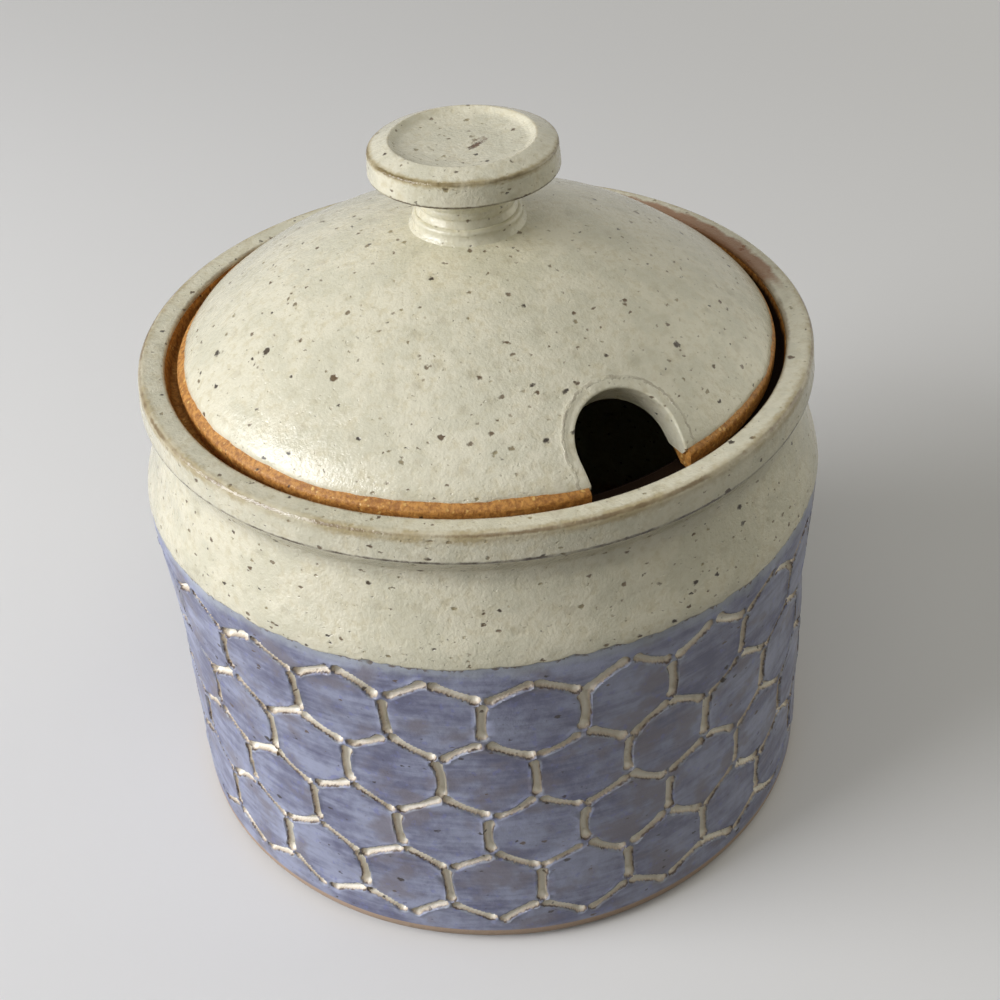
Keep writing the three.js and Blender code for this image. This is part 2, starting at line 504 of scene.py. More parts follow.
@dataclass(frozen=True)
class NeckGlaze(CreamGlaze):
    """The cream glaze of the neck, which is wiped off in one place behind the lid."""

    wiped: Colour = rgb(0.30, 0.125, 0.045)
    wipe_radius: float = 53.1  # the patch lies inside this radius
    wipe_height: float = 85.0  # and above this height
    wipe_bearing: tuple[float, float] = (0.8, 0.6)
    wipe_from: tuple[float, float] = (26, 33)  # how far out on that bearing it sets in

    def layers(self, shader: Shader) -> tuple[Field, Field, Field, Field]:
        """The cream glaze with its wiped patch."""
        colour, roughness, relief, coat = super().layers(shader)
        ragged = shader.ragged(3.2, 3)
        inner = (shader.radius + ragged).ramp(self.wipe_radius + 0.5, self.wipe_radius - 0.5)
        east, north = self.wipe_bearing
        side = (shader.x * east + shader.y * north + ragged * 3).ramp(*self.wipe_from)
        patch = inner * side * shader.height.ramp(self.wipe_height - 1, self.wipe_height)
        colour = shader.mix(patch * 0.85, colour, self.wiped)
        return colour, roughness + patch * 0.2, relief, coat * (1 - patch)


@dataclass(frozen=True)
class LidGlaze(CreamGlaze):
    """The cream glaze of the lid, with a painted shade line along the ridge round the slot."""

    # ridge is painted shade: a broken grey-brown line along the ridge round the slot
    ridge: Colour = rgb(0.27, 0.215, 0.135)
    ridge_from_slot: float = 1.8
    ridge_width: float = 0.3
    ridge_shade_share: float = 0.5  # of the painted shade's colour, where it is strongest

    MARK = "from_slot"

    def layers(self, shader: Shader) -> tuple[Field, Field, Field, Field]:
        """The cream glaze with a painted shade line along its ridge."""
        colour, roughness, relief, coat = super().layers(shader)
        away = shader.mark(self.MARK)
        ragged = shader.ragged(1.1, 1.1)
        across = (away + ragged - self.ridge_from_slot) / self.ridge_width
        # Painted shade: a broken grey-brown line along the ridge round the slot.
        line = (across * across).ramp(1.0, 0.1)
        stretch = shader.noise(2.6).ramp(0.38, 0.6)
        colour = shader.mix(line * stretch * self.ridge_shade_share, colour, self.ridge)
        return colour, roughness - line * 0.08, relief + line * ragged * 0.12 + line * 0.06, coat


@dataclass(frozen=True)
class KnobGlaze(CreamGlaze):
    """The cream glaze of the knob, with a scratch in its dish that bled iron."""

    scratch: Colour = rgb(0.13, 0.06, 0.028)
    place: tuple[float, float] = (1.1, -1.95)
    length: float = 1.75
    breadth: float = 0.55
    bearing: float = 0.4  # radians from the X axis
    dish_floor: float = 118

    def layers(self, shader: Shader) -> tuple[Field, Field, Field, Field]:
        """The cream glaze with its scratch."""
        colour, roughness, relief, coat = super().layers(shader)
        east, north = math.cos(self.bearing), math.sin(self.bearing)
        x, y = shader.x - self.place[0], shader.y - self.place[1]
        along, across = x * east + y * north, y * east - x * north
        torn = shader.noise(0.55, 3, 0.7) - 0.5
        long, short = along / self.length, across / self.breadth
        above = shader.height.ramp(self.dish_floor - 1, self.dish_floor)
        mark = ((long * long + short * short) ** 0.5 + torn * 2.6).ramp(1.1, 0.5) * above
        beside, over = (along - self.length) / 2.6, (across - 0.5) / 1.6
        near = (beside * beside + over * over).ramp(1, 0.2)
        haze = (torn + near * 0.42).ramp(0.34, 0.5) * near * above
        colour = shader.mix(haze * 0.7, colour, self.scratch)
        colour = shader.mix(mark * 0.95, colour, self.scratch)
        return colour, roughness + mark * 0.3, relief - mark * 0.2, coat * (1 - mark)


@dataclass(frozen=True)
class BlueSlip:
    """Brushed grey-blue slip, carved through to the pale clay."""

    light: Colour = rgb(0.385, 0.415, 0.56)
    deep: Colour = rgb(0.145, 0.15, 0.24)
    grey: Colour = rgb(0.215, 0.195, 0.225)
    bright: Colour = rgb(0.21, 0.23, 0.50)
    # pale is the halo below the neck's glaze, and a painted highlight on the lips of the cuts
    pale: Colour = rgb(0.47, 0.51, 0.54)
    # tan is painted shade at the sides of the cuts, and random patches on their floors
    tan: Colour = rgb(0.56, 0.45, 0.32)
    carved: Colour = rgb(0.93, 0.89, 0.77)
    rust: Colour = rgb(0.085, 0.05, 0.03)
    coat: float = 0.1
    gloss: float = 0.22
    specks: tuple[Speckle, ...] = (
        Speckle(1.5, 0.0, 0.22, 0.6, IRON, BROWN),
        Speckle(2.6, 0.05, 0.42, 0.85, IRON, BROWN),
        Speckle(4.4, 0.1, 0.6, 0.9, IRON, IRON, 0.1),
    )

    def material(self, name: str) -> bpy.types.Material:
        """The slip as a material.

        Args:
            name: the material's name.

        Returns:
            The material.
        """
        shader = Shader(name)
        streak = shader.noise(1, at=shader.stretched(14, 1.1))
        mottle = shader.noise(2, 4, 0.65)
        cloud = shader.noise(1, at=shader.stretched(12, 7))
        blend = streak * 0.25 + mottle * 0.25 + cloud * 0.5
        colour = shader.mix(blend.ramp(0.37, 0.63), self.deep, self.light)
        patch = shader.noise(1, at=shader.stretched(9, 7))
        colour = shader.mix(patch.ramp(0.5, 0.66) * 0.75, colour, self.grey)
        colour = shader.mix(shader.noise(1.5).ramp(0.58, 0.7) * 0.5, colour, self.bright)
        colour, roughness, relief = self.carving(shader, colour, streak * 0.06 + mottle * 0.09)
        drawn = shader.thrown()
        for speckle in self.specks:
            colour, _ = speckle.over(shader, colour, drawn)
        below = shader.mark(Jar.LINE_MARK)
        faded = (below + shader.ragged(2.6, 3.4)).ramp(2.6, 0.1)
        colour = shader.mix(faded * 0.6, colour, self.pale)
        drop = (below + shader.ragged(0.7, 2.2, 2, 0.5)).ramp(0.3, 0.05)
        colour = shader.mix(drop * shader.noise(2.2, 2, 0.5).ramp(0.4, 0.6) * 0.75, colour, BROWN)
        shader.surface(colour, roughness + mottle * 0.2, relief, self.coat, self.gloss)
        return shader.material

    def carving(self, shader: Shader, colour: Field, relief: Field) -> tuple[Field, Field, Field]:
        """Opens the slip along the cuts, whose cream floors turn tan at their sides as painted shade,
        whose lips get a painted highlight, and whose edges are stained.

        Args:
            shader: the material.
            colour: the slip's colour.
            relief: the slip's relief.

        Returns:
            The colour, the roughness and the relief.
        """
        carve = shader.mark(Honeycomb.MARK)
        edge = carve + shader.ragged(0.45, 0.26, 3, 0.65)
        inside = edge.ramp(0.06, -0.1)
        # Painted shade: the floor is tan at the cut's sides and cream only along its middle; the tan
        # patches after it are random tone.
        floor = shader.mix(edge.ramp(0.0, -0.42), self.tan, self.carved)
        floor = shader.mix(shader.noise(1.3).ramp(0.58, 0.76) * 0.4, floor, self.tan)
        colour = shader.mix(inside, colour, floor)
        # Painted highlight: pale patches along the lips round the cuts, where they catch the light.
        lip = edge.ramp(0.5, 0.12) * (1 - inside)
        colour = shader.mix(lip * shader.noise(1.8).ramp(0.4, 0.62) * 0.5, colour, self.pale)
        bled = edge.ramp(0.14, 0.03) * edge.ramp(-0.14, -0.02)
        stain = shader.noise(1.9).ramp(0.46, 0.6)
        colour = shader.mix(bled * (stain * 0.8 + 0.12), colour, self.rust)
        return colour, 0.34 - inside * 0.1, relief * (1 - inside) + shader.noise(0.6) * 0.06


@dataclass(frozen=True)
class BareClay:
    """Toasted stoneware where no glaze covers it."""

    base: Colour = rgb(0.62, 0.30, 0.072)
    dark: Colour = rgb(0.33, 0.135, 0.03)
    # glint is painted: golden specks that stand for sparkles of light
    glint: Colour = rgb(0.92, 0.62, 0.20)
    specular: float = 0.35

    def layers(self, shader: Shader) -> tuple[Field, Field, Field]:
        """The clay's colour, roughness and relief."""
        grit = shader.noise(0.8, 4, 0.7)
        colour = shader.mix(grit.ramp(0.35, 0.65), self.dark, self.base)
        drawn = shader.warped(0.6, 0.3)
        # Painted glints: golden specks for sparkles of light, which are also made less rough.
        painted_glints, _ = shader.specks(0.85, 0.02, 0.27, drawn, 0.1)
        iron, _ = shader.specks(1.9, 0.03, 0.4, drawn, 0.08)
        colour = shader.mix(painted_glints * 0.75, colour, self.glint)
        colour = shader.mix(iron * 0.85, colour, IRON)
        relief = grit * 0.14 + shader.noise(0.3, 2, 0.5) * 0.04
        return colour, 0.5 - painted_glints * 0.25, relief

    def material(self, name: str) -> bpy.types.Material:
        """The clay as a material."""
        shader = Shader(name)
        colour, roughness, relief = self.layers(shader)
        shader.surface(colour, roughness, relief, specular=self.specular)
        return shader.material


@dataclass(frozen=True)
class JarClay(BareClay):
    """The jar's clay, toasted at the mouth, painted near black as shade on the ledge, and glazed inside.
    """

    # stain is painted shade: near black on the ledge and the wall below the mouth
    stain: Colour = rgb(0.016, 0.008, 0.004)
    specular: float = 0.08
    foot: Colour = rgb(0.52, 0.40, 0.31)
    liner: CreamGlaze = CreamGlaze()
    ledge_bottom: float = 80
    mouth_bottom: float = 85.8
    painted_shade_side: tuple[float, float] = (-50, -10)  # X over which the painted shade sets in
    foot_band: tuple[float, float] = (6, 4)  # heights between which the clay turns pale
    liner_radius: float = 54
    liner_floor: float = 5

    def layers(self, shader: Shader) -> tuple[Field, Field, Field]:
        """The clay with painted shade on its ledge, its foot and its glazed inside."""
        colour, roughness, relief = super().layers(shader)
        glaze, glaze_roughness, glaze_relief, _ = self.liner.layers(shader)
        ragged = shader.ragged(3, 1.5)
        up = shader.height + ragged
        above_liner = up.ramp(self.ledge_bottom - 1, self.ledge_bottom + 1)
        # Painted shade: the ledge and the wall below the mouth turn near black, except on the left.
        stained = above_liner * up.ramp(self.mouth_bottom + 0.8, self.mouth_bottom - 0.4)
        stained = stained * (shader.x + ragged * 6).ramp(*self.painted_shade_side)
        colour = shader.mix(stained, colour, self.stain)
        pale = (shader.height + ragged * 0.5).ramp(*self.foot_band)
        colour = shader.mix(pale * 0.9, colour, self.foot)
        inside = (shader.radius + ragged * 0.2).ramp(self.liner_radius, self.liner_radius - 0.5)
        above_floor = shader.height.ramp(self.liner_floor - 0.5, self.liner_floor + 0.5)
        lined = inside * (1 - above_liner) * above_floor
        bare = 1 - lined
        colour = shader.mix(lined, colour, glaze)
        roughness = roughness * bare + glaze_roughness * lined + stained * 0.4
        return colour, roughness, relief * bare + glaze_relief * lined


def make_active(piece: Piece) -> None:
    """Selects one piece and nothing else."""
    bpy.ops.object.select_all(action="DESELECT")
    piece.select_set(True)
    bpy.context.view_layer.objects.active = piece


@contextmanager
def edit_mode(piece: Piece) -> Iterator[None]:
    """Opens one piece in edit mode, with nothing else selected."""
    make_active(piece)
    bpy.ops.object.mode_set(mode="EDIT")
    try:
        yield
    finally:
        bpy.ops.object.mode_set(mode="OBJECT")


def extrude(offset: Sequence[float] = (0, 0, 0)) -> None:
    """Extrudes what is selected in edit mode by an offset in metres."""
    bpy.ops.mesh.extrude_region_move(TRANSFORM_OT_translate={"value": offset})


def face_out() -> None:
    """Turns all the faces of the piece in edit mode outward."""
    bpy.ops.mesh.select_all(action="SELECT")
    bpy.ops.mesh.normals_make_consistent(inside=False)


def pick(piece: Piece, part: Part, chosen: Array) -> None:
    """Selects some of a piece's points, edges or faces, and nothing else.

    Args:
        piece: a piece in object mode.
        part: what is selected.
        chosen: whether each one is.
    """
    for other in Part:
        items = getattr(piece.data, other.value)
        items.foreach_set("select", np.zeros(len(items), bool))
    getattr(piece.data, part.value).foreach_set("select", chosen)
    bpy.context.tool_settings.mesh_select_mode = [part is other for other in Part]


def places(piece: Piece) -> Array:
    """The piece's points in millimetres, one row each."""
    flat = np.empty(len(piece.data.vertices) * 3)
    piece.data.vertices.foreach_get("co", flat)
    return flat.reshape(-1, 3) / MM


def from_axis(points: Array) -> Array:
    """The distance of each point from the axis."""
    return np.linalg.norm(points[:, :2], axis=1)


def move_to(piece: Piece, points: Array) -> None:
    """Puts the piece's points at places given in millimetres."""
    piece.data.vertices.foreach_set("co", (points * MM).ravel())
    piece.data.update()


def write_mark(piece: Piece, name: str, values: Array) -> None:
    """Stores a number on each point, for the piece's material to read."""
    mark = piece.data.attributes.new(name, "FLOAT", "POINT")
    mark.data.foreach_set("value", values.astype(np.float32))


def ends(piece: Piece) -> Array:
    """The two point numbers of each edge, one row each."""
    flat = np.empty(len(piece.data.edges) * 2, np.int32)
    piece.data.edges.foreach_get("vertices", flat)
    return flat.reshape(-1, 2)


def face_centres(piece: Piece) -> Array:
    """The middle of each face in millimetres, one row each."""
    flat = np.empty(len(piece.data.polygons) * 3)
    piece.data.polygons.foreach_get("center", flat)
    return flat.reshape(-1, 3) / MM


def open_edges(piece: Piece) -> Array:
    """Whether each edge has a face on one side only."""
    uses = np.zeros(len(piece.data.edges), np.int32)
    loops = np.empty(len(piece.data.loops), np.int32)
    piece.data.loops.foreach_get("edge_index", loops)
    np.add.at(uses, loops, 1)
    return uses == 1


def apply_modifier(piece: Piece, kind: str, **settings) -> None:
    """Adds a modifier with its settings and applies it.

    Args:
        piece: the piece that it works on.
        kind: the modifier's type.
        **settings: its properties.
    """
    make_active(piece)
    modifier = piece.modifiers.new(kind.title(), kind)
    for key, value in settings.items():
        setattr(modifier, key, value)
    bpy.ops.object.modifier_apply(modifier=modifier.name)


def give_wall(piece: Piece, thickness: float, shares: Array) -> None:
    """Thickens an open skin inward.

    Args:
        piece: the skin.
        thickness: the full thickness.
        shares: how much of it each point gets.
    """
    group = piece.vertex_groups.new(name="thickness")
    for index, share in enumerate(shares):
        group.add([index], float(share), "REPLACE")
    settings = {"offset": -1, "use_even_offset": True, "vertex_group": group.name}
    apply_modifier(piece, "SOLIDIFY", thickness=thickness * MM, **settings)
    piece.vertex_groups.clear()


@dataclass(frozen=True)
class Corner:
    """A corner of a turned outline: its radius, height and rounding, in millimetres."""

    radius: float
    height: float
    round: float = 0.0

    @property
    def place(self) -> Vector:
        """The corner in metres, on the side of the wheel where outlines are drawn."""
        return Vector((0, -self.radius, self.height)) * MM


@dataclass(frozen=True)
class Wheel:
    """Turns outlines into thrown pieces."""

    facets: int = 256
    spacing: float = 1.5  # longest side of a face along the outline
    arc_step: float = 0.35  # millimetres between the points of a rounded corner
    seam: float = 0.0  # radians left open in front, where a piece isn't closed

    def throw(self, name: str, corners: Sequence[Corner], ring: bool = False) -> Piece:
        """Turns an outline about the axis.

        Args:
            name: the piece's name.
            corners: its outline, from which each straight and rounding is made.
            ring: whether the outline closes on itself.

        Returns:
            The piece, with its normals facing out.
        """
        piece = self.outline(name, corners, ring)
        for corner, before, after in self.neighbours(corners, ring):
            if corner.round:
                self.round_off(piece, corner, before, after)
        self.divide(piece)
        angle = FULL_TURN - self.seam
        with edit_mode(piece):
            bpy.ops.mesh.select_all(action="SELECT")
            bpy.ops.mesh.spin(steps=self.facets, angle=angle, center=CENTRE, axis=UP, use_auto_merge=False)
            if not self.seam:
                bpy.ops.mesh.select_all(action="SELECT")
                bpy.ops.mesh.remove_doubles(threshold=WELD)
            face_out()
        return piece

    def outline(self, name: str, corners: Sequence[Corner], ring: bool) -> Piece:
        """A wire through the corners, drawn by extruding a point."""
        bpy.ops.mesh.primitive_plane_add(size=corners[0].radius * MM + MM)
        piece = bpy.context.object
        piece.name = name
        piece.data.name = name
        path = [corner.place for corner in corners] + ([corners[0].place] if ring else [])
        pick(piece, Part.POINTS, np.ones(len(piece.data.vertices), bool))
        with edit_mode(piece):
            bpy.ops.mesh.select_all(action="SELECT")
            bpy.ops.mesh.merge(type="CENTER")
            bpy.ops.transform.translate(value=path[0])
            for before, after in zip(path, path[1:]):
                extrude(after - before)
            bpy.ops.mesh.select_all(action="SELECT")
            bpy.ops.mesh.remove_doubles(threshold=WELD)
        return piece

    @staticmethod
    def neighbours(corners: Sequence[Corner], ring: bool) -> Iterator[tuple[Corner, Corner, Corner]]:
        """Each corner that has two sides, with the corners before and after it."""
        count = len(corners)
        for index in range(count if ring else count - 2):
            middle = index if ring else index + 1
            yield corners[middle], corners[middle - 1], corners[(middle + 1) % count]

    def round_off(self, piece: Piece, corner: Corner, before: Corner, after: Corner) -> None:
        """Bevels one corner of the wire to an arc."""
        inward = (corner.place - before.place).normalized()
        outward = (after.place - corner.place).normalized()
        turn = inward.angle(outward)
        steps = max(2, math.ceil(corner.round * turn / self.arc_step))
        away = np.linalg.norm(places(piece) * MM - np.array(corner.place), axis=1)
        pick(piece, Part.POINTS, away < WELD)
        offset = corner.round * math.tan(turn / 2) * MM
        segments = min(steps, MOST_SEGMENTS)
        with edit_mode(piece):
            bpy.ops.mesh.bevel(offset=offset, segments=segments, affect="VERTICES", clamp_overlap=True)

    def divide(self, piece: Piece) -> None:
        """Cuts long sides of the wire into short ones."""
        sides = places(piece)[ends(piece)]
        lengths = np.linalg.norm(sides[:, 0] - sides[:, 1], axis=1)
        cuts = np.ceil(lengths / self.spacing).astype(int) - 1
        for middle, count in zip(sides.mean(axis=1), cuts):
            if count > 0:
                away = np.linalg.norm(places(piece)[ends(piece)].mean(axis=1) - middle, axis=1)
                pick(piece, Part.EDGES, away == away.min())
                with edit_mode(piece):
                    bpy.ops.mesh.subdivide(number_cuts=int(count))


@dataclass(frozen=True)
class ThrowingHand:
    """The unevenness that a hand leaves on a thrown wall, in millimetres."""

    sway: float = 0.22
    sway_size: float = 34
    rings: float = 0.07
    ring_size: float = 2.6
    seed: float = 3.0

    def drift(self, point: Vector) -> float:
        """How far the wall strays outward at a point."""
        slow = noise.noise(point / self.sway_size + Vector((self.seed, 0, 0)))
        flat = Vector((point.x, point.y, 0)) / (self.sway_size * 2)
        fine = noise.noise(flat + Vector((0, self.seed, point.z / self.ring_size)))
        return slow * self.sway * 2 + fine * self.rings * 2

    def shape(self, piece: Piece, centre: float | None = None) -> None:
        """Moves each point of a piece by its drift.

        Args:
            piece: a finished mesh.
            centre: the height that a dome's points move away from, where a wall's leave the axis.
        """
        points = places(piece)
        for row in points:
            point = Vector(row)
            out = Vector((point.x, point.y, 0 if centre is None else point.z - centre))
            row += np.array(out.normalized() * self.drift(point))
        move_to(piece, points)


@dataclass(frozen=True)
class Stroke:
    """One cut of the carving on the unrolled wall."""

    start: Array
    end: Array
    half_width: float
    depth: float
    bow: float
    lip_side: float


@dataclass(frozen=True)
class Honeycomb:
    """Rows of hand-cut hexagons round a wall, in millimetres on the unrolled wall."""

    wall_radius: float
    bottom: float
    around: int = 24
    rows: int = 4
    side: float = 8.66
    gap: tuple[float, float] = (0.95, 1.6)  # by which a cut stops short of the corner
    half_width: float = 0.71
    depth: float = 0.95
    widths: tuple[float, float] = (0.9, 1.12)  # shares of the half width from cut to cut
    depths: tuple[float, float] = (0.85, 1.15)  # shares of the depth
    stray: float = 0.4  # by which an end lies off its place
    bow: float = 0.45  # by which a cut bends at its middle
    press: float = 0.7  # length of the deeper, wider print at each end of a cut
    press_wider: float = 0.32  # share by which the print widens the cut
    press_deeper: float = 0.2
    bottom_flat: float = 0.8  # power of the floor's section: the less, the flatter
    lip: float = 0.2
    lip_away: float = 0.2  # from the cut's edge to the crest of its lip
    lip_width: float = 0.26
    lip_reach: float = 1.0
    seed: int = 11

    MARK = "carve_distance"
    FAR = 4.0

    @property
    def length(self) -> float:
        """The way round the wall."""
        return FULL_TURN * self.wall_radius

    def strokes(self) -> list[Stroke]:
        """The cuts, each a little off its place as a hand leaves it."""
        chance = random.Random(self.seed)
        step = self.length / self.around
        made = []
        for row in range(self.rows):
            middle = self.bottom + self.side * (1 + 1.5 * row)
            for column in range(self.around):
                centre = (column + 0.5 * (row % 2)) * step
                left, right = centre - step / 2, centre + step / 2
                low, high = middle - self.side / 2, middle + self.side / 2
                over = [(left, low), (left, high), (centre, middle + self.side), (right, high)]
                under = [(left, low), (centre, middle - self.side), (right, low)]
                for path in (over, under) if row == 0 else (over,):
                    made += [self.stroke(chance, *pair) for pair in zip(path, path[1:])]
        return made

    def stroke(self, chance: random.Random, start: Sequence[float], end: Sequence[float]) -> Stroke:
        """One cut between two places, made uneven."""
        first, last = np.array(start), np.array(end)
        along = (last - first) / np.linalg.norm(last - first)
        across = np.array((-along[1], along[0]))
        stray = (-self.stray, self.stray)
        first = first + along * chance.uniform(*self.gap) + across * chance.uniform(*stray)
        last = last - along * chance.uniform(*self.gap) + across * chance.uniform(*stray)
        return Stroke(
            first,
            last,
            self.half_width * chance.uniform(*self.widths),
            self.depth * chance.uniform(*self.depths),
            chance.uniform(-self.bow, self.bow),
            chance.choice((-1, 1)),
        )

    def cut(self, points: Array) -> tuple[Array, Array]:
        """Measures the carving at points on the wall.

        Args:
            points: the points, one row each.

        Returns:
            Each point's distance from the edge of the nearest cut, less than zero inside it, and the
            height of the carved surface above the wall.
        """
        around = np.arctan2(points[:, 1], points[:, 0]) * self.wall_radius
        height = points[:, 2]
        distance = np.full(around.shape, self.FAR)
        floor = np.zeros(around.shape)
        lip = np.zeros(around.shape)
        reach = self.side * 0.5 + self.FAR
        for stroke in self.strokes():
            middle = (stroke.start + stroke.end) / 2
            across = (around - middle[0] + self.length / 2) % self.length - self.length / 2
            near = np.flatnonzero((np.abs(across) < reach) & (np.abs(height - middle[1]) < reach))
            place = np.stack([across[near] + middle[0], height[near]], -1)
            gap, deep, raised = self.profile(stroke, place)
            distance[near] = np.minimum(distance[near], gap)
            floor[near] = np.minimum(floor[near], deep)
            lip[near] = np.maximum(lip[near], raised)
        return distance, np.where(distance < 0, floor, lip * (distance < self.lip_reach))

    def profile(self, stroke: Stroke, place: Array) -> tuple[Array, Array, Array]:
        """One cut's distance, depth and raised lip at some places."""
        line = stroke.end - stroke.start
        length = np.linalg.norm(line)
        along = line / length
        share = np.clip((place - stroke.start) @ along / length, 0, 1)
        normal = np.array((-along[1], along[0]))
        bend = stroke.bow * 4 * share * (1 - share)
        spine = stroke.start + share[:, None] * line + bend[:, None] * normal
        away = np.linalg.norm(place - spine, axis=1)
        nearest_end = np.minimum(share, 1 - share) * length
        pressed = np.exp(-((nearest_end / self.press) ** 2))
        width = stroke.half_width * (1 + self.press_wider * pressed)
        inside = np.clip(1 - (away / width) ** 2, 0, 1)
        deep = -stroke.depth * (1 + self.press_deeper * pressed) * inside**self.bottom_flat
        side = np.sign((place - spine) @ normal) * stroke.lip_side
        crest = np.exp(-(((away - width - self.lip_away) / self.lip_width) ** 2))
        return away - width, deep, self.lip * (0.65 + 0.35 * side) * crest


def finish_piece(
    piece: Piece, look: bpy.types.Material, slot: Finish, body: Body, *nodes: str
) -> None:
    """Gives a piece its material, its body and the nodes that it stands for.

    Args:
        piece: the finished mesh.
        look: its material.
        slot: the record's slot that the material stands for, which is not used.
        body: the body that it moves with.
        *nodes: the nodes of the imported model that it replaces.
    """
    piece.data.materials.clear()
    piece.data.materials.append(look)
    make_active(piece)
    bpy.ops.object.shade_smooth_by_angle(angle=SHARP)
    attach(piece, body.value)
    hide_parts(*nodes)
    log.info("%s: %d faces, rides on %s", piece.name, len(piece.data.polygons), body.value)


@dataclass
class Jar:
    """The jar: a clay body, a carved band of slip and a glazed neck."""

    hand: ThrowingHand = field(default_factory=ThrowingHand)
    height: float = 88
    foot_radius: float = 59.3
    foot_round: float = 3
    waist_radius: float = 57.3
    waist_height: float = 43.2
    waist_round: float = 60
    shoulder_radius: float = 58
    shoulder_height: float = 65.5
    shoulder_round: float = 16
    throat_radius: float = 53
    throat_height: float = 79
    throat_round: float = 4
    rim_radius: float = 55
    rim_flare: float = 0.7
    rim_band: float = 4.7
    rim_round: float = 1.0
    mouth_radius: float = 50.85
    mouth_dip: float = 0.45
    wall: float = 4.7
    floor: float = 6
    floor_round: float = 9
    ring_radius: float = 45.3
    ring_hollow: float = 1.2
    ring_slope: float = 1.5
    ledge_height: float = 83.8
    ledge_radius: float = 45
    ledge_thickness: float = 3.6
    ledge_round: float = 0.8
    gallery_draft: float = 0.45
    band_depth: float = 2.4
    band_gap: float = 0.2  # between the band's back and the clay
    wall_lean: float = 0.16  # by which the wall leans in from its foot to the band
    coat: float = 0.75
    coat_gap: float = 0.1
    lap: float = 0.3  # by which the neck's coat stands proud of the slip that it laps over
    lap_round: float = 0.5  # height of its rounded edge
    lap_height: float = 2.6
    lap_fade: float = 7.0
    lap_room: float = 1.2  # by which the slip runs on behind the coat
    lap_steps: tuple[float, ...] = (0.5, 0.4, 0.25, 0.15, 0.1, 0.06, 0.04)  # rows down to its edge
    carve_from: float = 2.6  # height of the first row of cells above the band's foot
    carve_margin: float = 0.78  # round each cut, within which the faces are made finer
    carve_cuts: int = 3  # across each of those faces

    LINE_MARK = "below_neck_glaze"

    def __post_init__(self) -> None:
        """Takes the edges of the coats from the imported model."""
        band, neck = Extent.of("slip_band"), Extent.of("neck_glaze")
        self.band_bottom = band.bottom - 0.1
        self.band_top = (band.top + neck.bottom) / 2
        self.line = DipLine(self.band_top)

    def skin(self) -> list[Corner]:
        """The glazed outside, from the table to the mouth."""
        return [
            Corner(self.foot_radius - self.foot_round * 2, 0),
            Corner(self.foot_radius, 0, self.foot_round),
            Corner(self.waist_radius, self.waist_height, self.waist_round),
            Corner(self.shoulder_radius, self.shoulder_height, self.shoulder_round),
            Corner(self.throat_radius, self.throat_height, self.throat_round),
            Corner(self.rim_radius + self.rim_flare, self.height - self.rim_band, self.rim_round * 0.7),
            Corner(self.rim_radius, self.height, self.rim_round),
            Corner(self.mouth_radius, self.height - self.mouth_dip, self.rim_round * 0.6),
            Corner(self.mouth_radius - 0.05, self.height - self.mouth_dip - 0.7),
        ]

    @staticmethod
    def trim(piece: Piece, height: float, above: bool) -> None:
        """Cuts a piece level at a height and removes what lies above or below it."""
        level = (0, 0, height * MM)
        with edit_mode(piece):
            bpy.ops.mesh.select_all(action="SELECT")
            bpy.ops.mesh.bisect(plane_co=level, plane_no=UP, clear_outer=above, clear_inner=not above)

    @staticmethod
    def off_level(piece: Piece, level: float) -> Array:
        """How far the farther end of each edge is from a level."""
        return np.abs(places(piece)[ends(piece)][:, :, 2] - level).max(axis=1)

    def build_body(self) -> Piece:
        """The clay body, with room cut back for the band and the coat."""
        inside = self.waist_radius - self.wall
        band, coat = self.band_depth + self.band_gap, self.coat + self.coat_gap
        wall_foot = self.foot_radius - self.wall_lean
        side = self.rim_radius + self.rim_flare - coat - 0.2
        corners = [
            Corner(0, self.ring_hollow),
            Corner(self.ring_radius - self.ring_slope, self.ring_hollow, 0.6),
            Corner(self.ring_radius, 0, 0.4),
            Corner(self.foot_radius, 0, self.foot_round),
            Corner(wall_foot, self.band_bottom),
            Corner(wall_foot - band, self.band_bottom),
            Corner(self.waist_radius - band, self.waist_height),
            Corner(self.shoulder_radius - band, self.shoulder_height, self.shoulder_round),
            Corner(self.throat_radius - coat, self.throat_height, self.throat_round),
            Corner(side, self.height - self.rim_band + 0.3, 0.6),
            Corner(self.rim_radius - coat, self.height - coat, 0.6),
            Corner(self.mouth_radius, self.height - self.mouth_dip - self.coat, 0.5),
            Corner(self.mouth_radius - self.gallery_draft, self.ledge_height, self.ledge_round),
            Corner(self.ledge_radius, self.ledge_height, self.ledge_round),
            Corner(self.ledge_radius, self.ledge_height - self.ledge_thickness, self.ledge_round),
            Corner(self.throat_radius - self.wall, self.throat_height, 1.5),
            Corner(self.shoulder_radius - self.wall, self.shoulder_height, self.shoulder_round * 0.7),
            Corner(inside, self.waist_height),
            Corner(inside + 1.7, self.floor, self.floor_round),
            Corner(0, self.floor),
        ]
        piece = Wheel(facets=192, spacing=2.4, arc_step=0.6).throw("jar_clay", corners)
        self.hand.shape(piece)
        return piece

    def build_neck(self) -> Piece:
        """The coat of glaze over rim, throat and shoulder, which ends in a thick lip over the slip."""
        piece = Wheel(facets=400, spacing=1.2, arc_step=0.3).throw("neck_glaze_coat", self.skin())
        points = places(piece)
        front = (np.abs(points[:, 0]) < NEAR) & (points[:, 1] < 0)
        profile = points[front & (points[:, 2] < self.throat_height)]
        start = self.band_top + sum(self.lap_steps)
        self.trim(piece, start, above=False)
        pick(piece, Part.EDGES, self.off_level(piece, start) < NEAR)
        with edit_mode(piece):
            for step in self.lap_steps:
                extrude((0, 0, -step * MM))
            face_out()
        rise = places(piece)[:, 2] - self.band_top
        self.lap_over(piece, rise, profile[np.argsort(profile[:, 2])])
        shares = np.interp(rise, (0, 0.3, self.lap_height, self.lap_height + 1.2), (0.1, 0.3, 0.3, 1))
        give_wall(piece, self.coat, shares)
        self.hand.shape(piece)
        return piece

